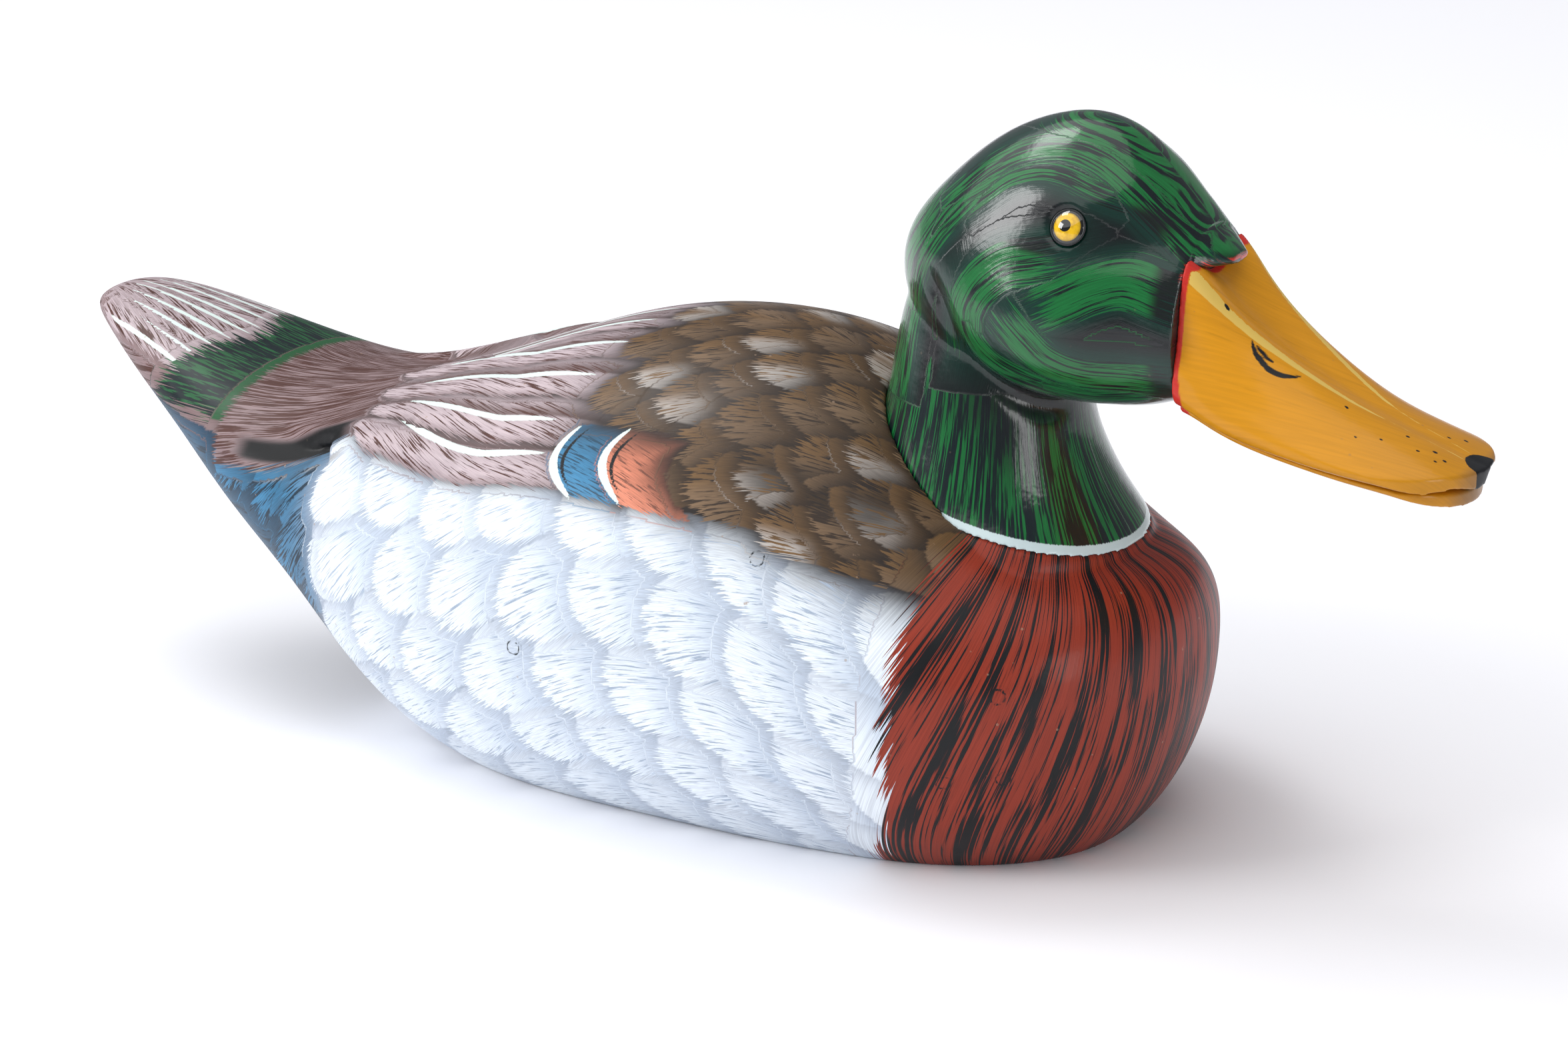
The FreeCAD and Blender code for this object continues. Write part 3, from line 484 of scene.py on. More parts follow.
def paint_body(co, normals, chart):
    places, angles, table, radii = chart
    x, y, z = co.T
    angle = np.arctan2(np.abs(y), z - spine(x))
    v = look_up(table, places, angles, x, angle)
    u = x
    depth = look_up(radii, places, angles, x, angle) - np.hypot(y, z - spine(x))
    canvas = Canvas(len(co), 7)
    random = canvas.random
    flank_top = np.interp(x, *np.transpose(curved(FLANK_TOP)))

    # Under the tail: teal blue, with a darker band behind the flank.
    tone = mix(TAIL_BLUE, TAIL_BLUE_DARK, smooth(v, 60, 110))
    canvas.fill(EVERYWHERE, tone, TAIL_BLUE_DARK, 0.45, v * 0.9, u / 10)
    for tip in ((-134, 54), (-118, 60), (-106, 66), (-112, 82), (-100, 92)):
        feather(canvas, u, v, tip, length=26, half_width=9, droop=35, colour=BLUE * 0.8,
                tip_colour=BLUE, strand=TAIL_BLUE_DARK, density=0.5, shadow=TAIL_BLUE_DARK,
                shadow_amount=0.5, fringe=1.6)

    # Tail and rump on top.
    tail_edge = np.interp(x, (-197, -180, -150, -120, -93), (20, 33, 40, 44, 44)) - v
    mauve = mix(MAUVE, MAUVE_DARK, 0.35 * smooth(v, 6, 34))
    canvas.fill(tail_edge, mauve, MAUVE_DARK, 0.55, v * 1.5, u / 12, fringe=1.5,
                shadow=TAIL_BLUE_DARK, shadow_amount=0.5)
    for k, start in enumerate((3, 10, 17, 24, 30)):
        root = (-150 - 1.2 * k, start * 0.9)
        end = (-193 + 1.7 * k, start * 0.62)
        run, side, length = along_path(u, v, (root, end))
        vane = np.minimum(3.4 - np.abs(side + 1), np.minimum(run + 6, length + 3 - run))
        canvas.fill(vane, MAUVE_LIGHT * 0.92, MAUVE_DARK, 0.5, side * 1.6 + run * 0.5, run / 9,
                    fringe=1.2, reach=2, shadow=MAUVE_DARK, shadow_amount=0.35, shadow_width=1.5)
        canvas.line = np.maximum(canvas.line, drawn_line(u, v, (root, end), 0.75))
    slant = u + 0.35 * v
    rump = np.minimum(slant + 149, 38 + 0.05 * (u + 150) - v)
    canvas.fill(rump, mix(RUMP_GREEN, TEAL_BLACK, smooth(u, -122, -100)), TEAL_BLACK, 0.62,
                v * 1.3, u / 9, fringe=2.2, reach=4, shadow=MAUVE_DARK)

    # Flank: rows of round white feathers, the lower rows first.
    flank = np.minimum(v - flank_top, x + 93)
    base = mix(FLANK_SHADE, WHITE_FLANK, 0.35)
    canvas.fill(flank, base, FLANK_BROWN, 0.3, v * 2.2 + u * 0.6, u / 9, fringe=0.9,
                shadow=BACK_DARK, shadow_amount=0.35, shadow_width=2.0)
    flank_limit = np.minimum(v - flank_top + 1.5, x + 95)
    for row in range(5, -1, -1):
        level = 80 + FLANK_ROW * row - (3 if row == 0 else 0)
        for column in range(-1, 9):
            place = -99 + FLANK_PITCH * (column + 0.5 * (row % 2)) + random.uniform(-2.2, 2.2)
            rise = 13 * smooth(-place, 42, 92) + 6 * smooth(place, 45, 85)
            drop = level - rise + random.uniform(-2, 2)
            if place > 70:
                continue
            feather(canvas, u, v, (max(place, -95), drop), length=29,
                    half_width=random.uniform(11.5, 13.5), droop=16 + 5 * (row % 2), colour=base,
                    tip_colour=WHITE_FLANK, strand=FLANK_SHADE * 0.8, density=0.36,
                    shadow=mix(FLANK_SHADE, FLANK_BROWN, 0.45), shadow_amount=0.5, freq=2.8,
                    fringe=0.9, roundness=0.5, patch=(-0.6, 0.5), limit=flank_limit)

    # Back: a dark base for the brown scallops.
    back = np.minimum(flank_top - 1 - v, x + 12 - 0.12 * v)
    canvas.fill(back, BACK_DARK, BACK_BROWN, 0.35, v * 1.6 + u * 0.4, u / 9, fringe=1.2, reach=4,
                shadow=BACK_DARK, shadow_amount=0.35)

    # Long mauve feathers over the wing, each with a cream shaft.
    wing = np.minimum(flank_top - v, np.minimum(-14 - x, x + 135))
    canvas.fill(wing, mix(MAUVE, MAUVE_DARK, 0.3), MAUVE_DARK, 0.6, v * 2.4 + u * 0.5, u / 12,
                fringe=0.9, shadow=BACK_DARK)
    tertials = (
        ((-14, 62), (-50, 57), (-83, 45), 8.5),
        ((-16, 52), (-50, 46), (-84, 36), 7.5),
        ((-12, 37), (-50, 30), (-88, 24), 8.5),
        ((-12, 22), (-50, 17), (-90, 12), 7.5),
        ((-12, 7), (-50, 4), (-90, 2), 6),
    )
    for first, middle, last, width in tertials:
        run, side, length = along_path(u, v, (first, middle, last))
        taper = np.sqrt(np.clip((length + 4 - run) / 12, 0, 1))
        vane = np.minimum(width * taper - np.abs(side), length + 4 - run)
        tone = mix(MAUVE_LIGHT, MAUVE_DARK, 0.8 * smooth(-side, 0.6, 1.2) * (1 - smooth(-side, 1.2, 6)))
        tone = mix(tone, MAUVE_DARK, 0.45 * smooth(np.abs(side), 0.6 * width, width))
        canvas.fill(vane, tone, MAUVE_DARK, 0.42, side * 2.6 + run * 0.8, run / 11, fringe=0.7,
                    reach=2, shadow=BACK_DARK, shadow_amount=0.7, shadow_width=2.0)
        shaft = ((first[0] - 8, first[1] - 1.2), (middle[0], middle[1] - 0.2), (last[0] + 8, last[1] + 0.5))
        canvas.line = np.maximum(canvas.line, drawn_line(u, v, shaft, 0.95))

    # Speculum: blue, then salmon, each behind a white crescent.
    fronts = [np.interp(v, *np.transpose(crescent(place))[::-1]) for place in (BLUE_X, SALMON_X, BROWN_X)]
    sweep = v * 1.9 - u * 0.7
    for front, rear, colour in ((fronts[0], fronts[1] + 1, BLUE), (fronts[1], fronts[2], SALMON)):
        patch = np.minimum(np.minimum(u - front, rear - u), np.minimum(v - SPECULUM_TOP, flank_top + 1 - v))
        canvas.fill(patch, colour, mix(BLACK, colour, 0.25), 0.42, sweep, u / 7, fringe=0.5,
                    reach=2, shadow=BACK_DARK, shadow_amount=0.6, shadow_width=2.0)

    # Back feathers: brown scallops, every third one with a pale lower tip.
    back_limit = np.minimum(flank_top + 2 - v, np.maximum(SPECULUM_TOP - v, u - fronts[2] + 2))
    for place, level, pale in back_feathers(random):
        brown = BACK_BROWN * random.uniform(0.9, 1.12)
        feather(canvas, u, v, (place, level), length=25, half_width=random.uniform(8.6, 9.4),
                droop=22, colour=brown, tip_colour=mix(brown, PALE_TIP, 0.92 * pale),
                strand=BACK_DARK, density=0.42, shadow=BACK_DARK * 0.8, shadow_amount=0.8,
                lower_tip=True, freq=2.4, fringe=0.75, patch=(-0.15, 0.35),
                tip_strand=mix(BACK_DARK, BACK_BROWN, pale), limit=back_limit)
    for place in (BLUE_X, SALMON_X):
        arc = crescent(place)
        canvas.line = np.maximum(canvas.line, drawn_line(u, v, arc, 1.15, 0.45))
        shade = [(along + 2.8, level + 0.6) for along, level in arc[:-1]]
        canvas.ink = np.maximum(canvas.ink, drawn_line(u, v, shade, 0.55, 0.45))

    # Breast: red with black hairs that sweep down and back from the neck.
    border = np.interp(v, *np.transpose(curved(BREAST_BORDER)))
    turn = np.arctan2(np.abs(y), x - 82)
    across = 62 * turn + 0.5 * (z - 45) * np.sin(np.clip(turn, 0, 1.6))
    clumps = 0.50 + 0.16 * np.sin(across * 0.37 + z * 0.03) + 0.10 * np.sin(across * 0.9 - z * 0.06)
    canvas.fill(x - border, BREAST_RED, BLACK, clumps, across * 1.25, z / 24, fringe=1.5, reach=6)
    # Painted shade: the back darkens to near black where it meets the back of the neck.
    neck_crease_band = 6 - np.abs(z - (103 - 0.25 * x))
    rim = smooth(neck_crease_band, 0, 5) * (1 - smooth(x, 62, 76)) * smooth(x, 20, 40)
    canvas.tint(BLACK * 0.6, 0.75 * rim)

    # Hollow under the wing tip: painted shade, black in the recess under the tip, with a bare ledge.
    notch_along = smooth(-x, 84, 92) * (1 - smooth(-x, 122, 130))
    notch_end = 0.10 * (x + 92)
    notch = notch_along * smooth(v, 40, 43) * (1 - smooth(v, 49.5 + notch_end, 51.5 + notch_end))
    ledge = notch_along * smooth(v, 49, 50) * (1 - smooth(v, 53, 54))
    canvas.tint(PALE_TIP * 0.55, 0.7 * ledge)
    wing_hollow_shade = np.maximum(smooth(depth, 2.0, 3.4) * notch_along * smooth(z, 60, 68), notch)
    canvas.tint(BLACK * 0.5, wing_hollow_shade)
    canvas.density = canvas.density * (1 - wing_hollow_shade)
    canvas.gloss = np.where(x > border, 0.75, 0.45)
    bottom = smooth(-normals[:, 2], 0.9, 0.98) * smooth(-z, -2.5, -0.5)
    canvas.tint(FLANK_SHADE, bottom)
    canvas.density = canvas.density * (1 - bottom)
    return canvas


# ---- head

VOXEL_HEAD = 0.5
EYE = np.array([101.4, 23.5, 157.2])
SEAT_HEIGHT = 102.0                        # plane of the neck's seat, at the origin
SEAT_SLOPE = math.tan(math.radians(14))    # and its fall to the front
FACE_X = 126.3                             # plane of the face that the bill is set against
NECK_TOP = 108.0                           # the head's own strokes start above this height
HALO = 5.0                                 # width of the dark green round them
# Rear edge of the cheek, as (x, z) from the nape to the throat.
CHEEK_EDGE = ((63, 142), (68.5, 135), (73.3, 127), (77.5, 120), (84.5, 113.5), (93, 108.5), (104, 107))


def shape_head(co, quads):
    """Carve the cheek, the groove behind it, the brow and the eye sockets."""
    normals = vertex_normals(co, quads)
    x, y, z = co.T
    run, side, length = along_path(x, z, CHEEK_EDGE)
    lateral = smooth(np.abs(y), 4, 14)
    ends = smooth(run, -2, 8) * (1 - smooth(run, length - 6, length + 2))
    groove = -1.5 * np.exp(-(side / 2.6) ** 2) * ends * lateral
    cheek_gap = np.hypot((x - 96) / 22, (z - 131) / 15)
    cheek = 1.7 * (1 - smooth(cheek_gap, 0.2, 1.25)) * lateral
    brow_gap = np.hypot((x - 104) / 20, (z - 165) / 6)
    brow = 0.8 * (1 - smooth(brow_gap, 0.2, 1.3)) * lateral
    hollow_gap = np.hypot((x - 112) / 16, (z - 153) / 6)
    hollow = -0.9 * (1 - smooth(hollow_gap, 0.1, 1.3)) * lateral
    neck_part = 1 - smooth(z, 104, 112)
    eye_gap = np.linalg.norm(np.stack([x, np.abs(y), z], 1) - EYE, axis=1)
    socket = -1.7 * (1 - smooth(eye_gap, 3.9, 5.3))
    push = groove + (cheek + brow + hollow) * (1 - neck_part) + socket
    return co + normals * push[:, None]


# Green brush streaks of the head, seen from the side: points as (x, z), half width, hair density.
HEAD_STREAKS = (
    # nape and back of the neck
    (((60, 152), (54, 142), (51, 130), (49, 118), (47, 107)), 7.0, 0.50),
    (((74, 160), (66, 151), (60, 141), (57, 128), (56, 114)), 3.0, 0.52),
    # crown, from the forehead back to the nape
    (((135, 151.5), (127, 158), (119.5, 165.5), (112, 171), (104, 175), (94, 177)), 3.0, 0.50),
    (((127, 153.5), (119.5, 160), (113, 166), (105, 171), (96, 173), (86, 171), (77, 166), (68, 158)),
     3.0, 0.52),
    (((106, 165.5), (98, 168), (91, 168), (84, 165.5), (78, 161)), 2.0, 0.52),
    (((78, 163), (70, 157), (64, 149), (60, 141)), 2.6, 0.52),
    # cheek
    (((124, 144), (116, 146.2), (109, 144.6), (102, 141)), 5.2, 0.40),
    (((94, 149), (87, 147), (81, 142), (77.5, 136), (77, 131)), 5.2, 0.46),
    (((77, 134), (80, 127.5), (86, 122.5), (94, 119.5)), 3.4, 0.48),
    (((93, 131), (99, 126), (107, 123), (118, 122.5)), 4.8, 0.42),
    (((99, 118.5), (107, 117), (116, 118)), 2.4, 0.45),
)


def paint_head(co):
    x, y, z = co.T
    canvas = Canvas(len(co), 11)
    neck_turn = np.arctan2(np.abs(y), x - 72)
    canvas.fill(EVERYWHERE, BLACK, TEAL_BLACK, 0.45, z * 1.6, x / 12)

    # Neck: green with dark hairs that run down; painted shade under the head and down the front of the neck
    # turns it black.
    neck = 114 - z + 9 * smooth(72 - x, -2, 14)
    canvas.fill(neck, HEAD_GREEN, TEAL_BLACK, 0.60, neck_turn * 46, z / 18, fringe=1.6, reach=6)
    throat_shade = np.exp(-((neck_turn - 0.95) / 0.33) ** 2) * smooth(z, 84, 108)
    chin_shadow = smooth(z, 98, 110) * smooth(x, 66, 84)
    canvas.tint(BLACK, 0.9 * np.maximum(throat_shade, chin_shadow))
    canvas.strand = mix(canvas.strand, BLACK, 0.6 * np.maximum(throat_shade, chin_shadow))

    # All the green strokes are one field, so that no stroke's rim cuts into its neighbour.
    nearest = np.full(len(co), -FAR)
    hair = np.zeros((len(co), 2))
    amount = np.zeros(len(co))
    for number, (path, width, density) in enumerate(HEAD_STREAKS):
        run, side, length = along_path(x, z, path)
        ends = 0.30 * np.minimum(run + 5, length + 5 - run)
        edge = np.minimum(width - np.abs(side), ends)
        closer = edge > nearest
        nearest = np.where(closer, edge, nearest)
        hair = np.where(closer[:, None], np.stack([side * 2.3 + 40 * number, run / 15], 1), hair)
        amount = np.where(closer, density, amount)
    spot = np.nonzero((nearest > -HALO) & (z >= NECK_TOP))[0]
    halo = mix(BLACK, mix(TEAL_BLACK, DEEP_GREEN, 0.7), smooth(nearest, -HALO, 0))
    canvas.under[spot] = halo[spot]
    canvas.over[spot] = HEAD_GREEN
    canvas.strand[spot] = mix(TEAL_BLACK, BLACK, 0.4)
    canvas.density[spot] = amount[spot]
    canvas.fringe[spot] = 0.95
    canvas.edge[spot] = nearest[spot]
    canvas.hair[spot, :2] = hair[spot]

    # Painted shade: black in the groove behind the cheek, with fewer hairs there.
    run, side, length = along_path(x, z, CHEEK_EDGE)
    cheek_crease_shade = np.exp(-(side / 2.4) ** 2) * smooth(run, -4, 6) * smooth(np.abs(y), 3, 9)
    canvas.tint(BLACK * 0.7, 0.95 * cheek_crease_shade)
    eye_gap = np.hypot((x - EYE[0] + 1) / 25, (z - EYE[2] + 0.2) / 7.6)
    face = np.maximum(1 - smooth(eye_gap, 0.75, 1.0), smooth(x, 120.5, 124) * (1 - smooth(z, 149, 152)))
    canvas.tint(BLACK, 0.97 * face)
    canvas.strand = mix(canvas.strand, BLACK * 1.6, 0.9 * face)
    canvas.density = canvas.density * (1 - 0.7 * cheek_crease_shade)

    # White ring on the lowest edge of the neck, and the red line under the forehead.
    above_seat = (z - SEAT_HEIGHT + SEAT_SLOPE * x) * math.cos(math.atan(SEAT_SLOPE))
    canvas.line = np.minimum(2.0 - above_seat, x - 58)
    under_brow = np.minimum(x - 126.9, 149.9 - z)
    canvas.tint(GAPE_RED, smooth(under_brow, -0.1, 0.3) * smooth(z, 146, 147))
    canvas.gloss = np.full(len(co), 1.0)
    return canvas


# ---- bill

VOXEL_BILL = 0.42

# Ridges of the upper bill: places along X, then their offset and height.
RIDGE_X = (126.5, 135, 146, 158, 169, 180, 190, 199)
RIDGE_Y = (15, 12.8, 10, 7, 4.5, 3, 2.4, 2)
RIDGE_Z = (151, 143, 133.3, 125.3, 119.2, 114.8, 111.2, 108.4)
# Worn specks on the upper bill near its tip: x, distance to the right, radius.
BILL_CHIPS = (
    (166, 9, 0.5), (176, 12, 0.45), (180, 6, 0.5), (184, 9.5, 0.45), (187, 6.5, 0.7), (188.5, 10, 0.5),
    (190, 8, 0.6), (137, 12.6, 0.7), (171, 15, 0.35), (186, -4, 0.5), (189, -7, 0.6), (165, -11, 0.4),
)


def paint_bill(co, lower):
    x, y, z = co.T
    canvas = Canvas(len(co), 19)
    tone = mix(BILL_OCHRE, BILL_OCHRE * 0.86, smooth(x, 150, 192))
    canvas.fill(EVERYWHERE, tone, BILL_OCHRE * 0.9, 0.28, y * 0.5 + z * 0.5, x / 22)
    red_edge = 129.0 + 0.9 * smooth(126 - z, 0, 9)
    red = smooth(red_edge - x, -0.12, 0.12)
    if lower:
        canvas.tint(BARE_WOOD * 0.4, 0.7 * smooth(x, 191, 195.5))
    else:
        ridge_y, ridge_z = np.interp(x, RIDGE_X, RIDGE_Y), np.interp(x, RIDGE_X, RIDGE_Z)
        outside = np.hypot(np.abs(y) - ridge_y, z - ridge_z) * np.sign(np.abs(y) - ridge_y)
        # Pale strip along each ridge of the upper bill: a painted highlight where the edge catches the light.
        width = np.interp(x, (129, 142, 166, 174), (3.4, 2.6, 1.2, 0.1))
        canvas.line = np.minimum(outside + 0.2, width - outside)
        on_side = np.abs(y) > ridge_y + 1.5
        nostril = ((143.6, 134.2), (145.2, 131.6), (148.4, 128.6), (151.6, 127), (155.4, 126.4))
        branch = ((144.8, 133), (147, 131), (149.4, 129.4))
        strokes = np.maximum(drawn_line(x, z, nostril, 0.42, 0.3), drawn_line(x, z, branch, 0.28, 0.4))
        nail = 5.4 - np.hypot(x - 197.5, y)
        canvas.ink = np.maximum(np.where(on_side, strokes, NO_LINE), nail)
        for place, offset, radius in BILL_CHIPS:
            canvas.ink = np.maximum(canvas.ink, radius - np.hypot(x - place, (y + offset) * 1.3))
        root = z - np.interp(x, (127, 139), (148.9, 147.5))
        red = np.maximum(red, smooth(root, -0.2, 0.2) * (x < 139))
        tip = smooth(x, 193.5, 197) * (1 - smooth(np.abs(y), 14, 19))
        canvas.tint(BARE_WOOD * 0.35, 0.55 * tip)
    canvas.tint(GAPE_RED, red)
    canvas.density = canvas.density * (1 - red)
    canvas.line = np.where(red > 0.5, NO_LINE, canvas.line)
    canvas.gloss = np.full(len(co), 0.8)
    return canvas


# ---- materials

class NodeTree:
    """A material and the nodes that its finish is made of."""

    def __init__(self, name):
        self.material = bpy.data.materials.new(name)
        self.material.use_nodes = True
        self.nodes = self.material.node_tree.nodes
        self.links = self.material.node_tree.links
        self.shader = self.nodes["Principled BSDF"]

    def feed(self, socket, value):
        """Give a socket a number or a colour, or link another node's output to it."""
        if isinstance(value, (int, float)):
            socket.default_value = value
        elif isinstance(value, (tuple, np.ndarray)):
            socket.default_value = (*value[:3], 1)
        else:
            self.links.new(value, socket)

    def set(self, **values):
        """Feed the shader's sockets, named as in base_color for "Base Color"."""
        for key, value in values.items():
            self.feed(self.shader.inputs[key.replace("_", " ").title().replace("Ior", "IOR")], value)

    def attribute(self, name):
        node = self.nodes.new("ShaderNodeAttribute")
        node.attribute_name = name
        return node

    def field(self):
        """The three numbers of the attribute called field."""
        parts = self.nodes.new("ShaderNodeSeparateXYZ")
        self.links.new(self.attribute("field").outputs["Vector"], parts.inputs[0])
        return parts.outputs

    def place(self):
        return self.nodes.new("ShaderNodeTexCoord").outputs["Object"]

    def math(self, operation, *values):
        node = self.nodes.new("ShaderNodeMath")
        node.operation = operation
        for socket, value in zip(node.inputs, values):
            self.feed(socket, value)
        return node.outputs[0]

    def step(self, value, low, high):
        """0 below low, 1 above high, and a smooth step between them."""
        node = self.nodes.new("ShaderNodeMapRange")
        node.interpolation_type = "SMOOTHSTEP"
        for name, given in (("Value", value), ("From Min", low), ("From Max", high)):
            self.feed(node.inputs[name], given)
        return node.outputs["Result"]

    def mix(self, factor, first, second, blend="MIX"):
        node = self.nodes.new("ShaderNodeMix")
        node.data_type = "RGBA"
        node.blend_type = blend
        # Factor, A and B of a colour mix; the sockets between them are for numbers and vectors.
        for socket, value in ((0, factor), (6, first), (7, second)):
            self.feed(node.inputs[socket], value)
        return node.outputs[2]

    def noise(self, vector, scale, detail=2.0, roughness=0.5):
        node = self.nodes.new("ShaderNodeTexNoise")
        for name, value in (("Scale", scale), ("Detail", detail), ("Roughness", roughness),
                            ("Vector", vector)):
            self.feed(node.inputs[name], value)
        return node.outputs["Fac"]

    def scaled(self, vector, factors, shift=(0, 0, 0)):
        node = self.nodes.new("ShaderNodeMapping")
        node.inputs["Scale"].default_value = factors
        node.inputs["Location"].default_value = shift
        self.links.new(vector, node.inputs["Vector"])
        return node.outputs["Vector"]

    def bump(self, height, strength, distance):
        """Relief; distance is in metres."""
        node = self.nodes.new("ShaderNodeBump")
        for name, value in (("Strength", strength), ("Distance", distance), ("Height", height)):
            self.feed(node.inputs[name], value)
        return node.outputs["Normal"]


def brushwork(name, line_colour, wear_colour, wear, roughness, coat, speck=0.5, mottle=0.14,
              coat_roughness=0.13, specular=0.1):
    """Painted wood: reads the brush layers and draws their hairs, wear and varnish.

    More wear rubs away more of the paint; speck is the strength of its small chips.
    """
    tree = NodeTree(name)
    over, under, strand = (tree.attribute(key) for key in ("over", "under", "strand"))
    edge, line, ink = tree.field()
    hair = tree.attribute("hair").outputs["Vector"]
    hairs = tree.noise(hair, 1.0, 3.0, 0.55)
    fine = tree.noise(tree.scaled(hair, (2.6, 1.6, 1)), 1.0)
    tips = tree.noise(tree.scaled(hair, (1.5, 0.45, 1), (9, 3, 0)), 1.0)
    ragged = tree.math("MULTIPLY_ADD", tips, 9.0, -4.5)
    ragged = tree.math("MULTIPLY_ADD", ragged, strand.outputs["Alpha"], edge)
    cover = tree.step(ragged, -0.18, 0.18)
    limit = tree.math("MULTIPLY_ADD", over.outputs["Alpha"], -0.5, 0.74)
    drawn = tree.step(hairs, limit, tree.math("ADD", limit, 0.07))
    front = tree.mix(drawn, over.outputs["Color"], strand.outputs["Color"])
    colour = tree.mix(cover, under.outputs["Color"], front)
    pale = tree.mix(1.0, colour, (1 + mottle, 1 + mottle, 1 + mottle), "MULTIPLY")
    dull = tree.mix(1.0, colour, (1 - mottle, 1 - mottle, 1 - 0.9 * mottle), "MULTIPLY")
    colour = tree.mix(tree.step(fine, 0.30, 0.70), dull, pale)
    for texture, layer, layer_colour in ((tips, line, line_colour), (fine, ink, BLACK)):
        shown = tree.step(tree.math("MULTIPLY_ADD", texture, 0.5, layer), 0.15, 0.4)
        colour = tree.mix(shown, colour, layer_colour)

    place = tree.place()
    blotch = tree.noise(place, 160.0, 4.0, 0.6)
    rub = tree.noise(tree.scaled(place, (0.35, 1, 1)), 900.0)
    worn = tree.math("MULTIPLY", tree.step(blotch, 0.68 - wear, 0.76 - wear), tree.step(rub, 0.50, 0.62))
    colour = tree.mix(worn, colour, wear_colour)
    cells = tree.nodes.new("ShaderNodeTexVoronoi")
    tree.feed(cells.inputs["Scale"], 210.0)
    tree.feed(cells.inputs["Vector"], place)
    dots = tree.step(cells.outputs["Distance"], 0.085, 0.06)
    chosen = tree.step(tree.noise(place, 70.0), 0.56, 0.60)
    dots = tree.math("MULTIPLY", tree.math("MULTIPLY", dots, chosen), speck)
    colour = tree.mix(dots, colour, wear_colour)

    rough = tree.math("MULTIPLY_ADD", tree.noise(place, 45.0, 3.0), 0.22, roughness - 0.11)
    rough = tree.math("MULTIPLY_ADD", fine, 0.10, rough)
    grain = tree.noise(tree.scaled(place, (0.18, 1, 1)), 420.0, 3.0, 0.6)
    height = tree.math("MULTIPLY_ADD", hairs, 0.55, tree.math("MULTIPLY", grain, 0.5))
    height = tree.math("MULTIPLY_ADD", worn, -0.8, height)
    wave = tree.math("MULTIPLY_ADD", hairs, 0.3, tree.noise(place, 130.0, 3.0, 0.65))
    tree.set(base_color=colour, roughness=rough, specular_ior_level=specular,
             normal=tree.bump(height, 0.35, 0.00012),
             coat_weight=tree.math("MULTIPLY", under.outputs["Alpha"], coat),
             coat_roughness=coat_roughness, coat_normal=tree.bump(wave, 0.3, 0.0005))
    return tree.material


def plain_finish(name, base, dark, roughness, metallic, scale, stretch=(1, 1, 1), relief=0.00008):
    """Bare metal, wood or putty with mottling, roughness variation and relief."""
    tree = NodeTree(name)
    place = tree.scaled(tree.place(), stretch)
    coarse = tree.noise(place, scale, 4.0, 0.6)
    fine = tree.noise(place, scale * 6, 3.0, 0.6)
    tree.set(base_color=tree.mix(tree.step(coarse, 0.35, 0.65), base, dark), metallic=metallic,
             roughness=tree.math("MULTIPLY_ADD", fine, 0.3, roughness - 0.15),
             normal=tree.bump(fine, 0.5, relief))
    return tree.material


def eye_material():
    """Glass eye: the field holds the distances from the pupil and from the middle, in mm."""
    tree = NodeTree("eye_glass")
    pupil, middle = tree.field()[:2]
    mottle = tree.noise(tree.place(), 900.0, 3.0)
    colour = tree.mix(tree.step(mottle, 0.35, 0.7), paint(236, 188, 8), paint(206, 160, 8))
    colour = tree.mix(tree.step(middle, 2.7, 3.6), colour, paint(110, 92, 10))
    colour = tree.mix(tree.step(pupil, 1.5, 1.35), colour, BLACK * 0.2)
    colour = tree.mix(tree.step(middle, 3.2, 3.4), colour, BLACK * 0.4)
    tree.set(base_color=colour, roughness=tree.math("MULTIPLY_ADD", mottle, 0.05, 0.04),
             coat_weight=1.0, coat_roughness=0.03)
    return tree.material


body_paint = brushwork("body_paint", SHAFT_CREAM, BARE_WOOD, wear=-0.03, roughness=0.46, coat=0.30,
                       coat_roughness=0.22, specular=0.2)
head_paint = brushwork("head_paint", RING_WHITE, BARE_WOOD, wear=-0.12, roughness=0.32, coat=0.9,
                       speck=0.12)
bill_paint = brushwork("bill_paint", BILL_RIDGE_HIGHLIGHT, BARE_WOOD * 0.5, wear=-0.10, roughness=0.38, coat=0.55,
                       speck=0.3, mottle=0.05, coat_roughness=0.2)
eye_glass = eye_material()
putty_paint = plain_finish("putty_paint", BLACK * 0.6, BLACK * 1.5, roughness=0.35, metallic=0.0, scale=500.0)
beech = plain_finish("beech", paint(206, 172, 126), paint(176, 138, 94), roughness=0.6, metallic=0.0,
                     scale=90.0, stretch=(1, 1, 0.08))
steel = plain_finish("steel", paint(150, 150, 152), paint(110, 110, 112), roughness=0.35, metallic=1.0,
                     scale=300.0)
brass = plain_finish("brass", paint(168, 132, 66), paint(104, 80, 44), roughness=0.38, metallic=1.0,
                     scale=400.0)
lead = plain_finish("lead", paint(112, 114, 118), paint(72, 74, 80), roughness=0.6, metallic=0.7,
                    scale=160.0, relief=0.0003)


# ---- pieces

PLUG_RADIUS = 1.75


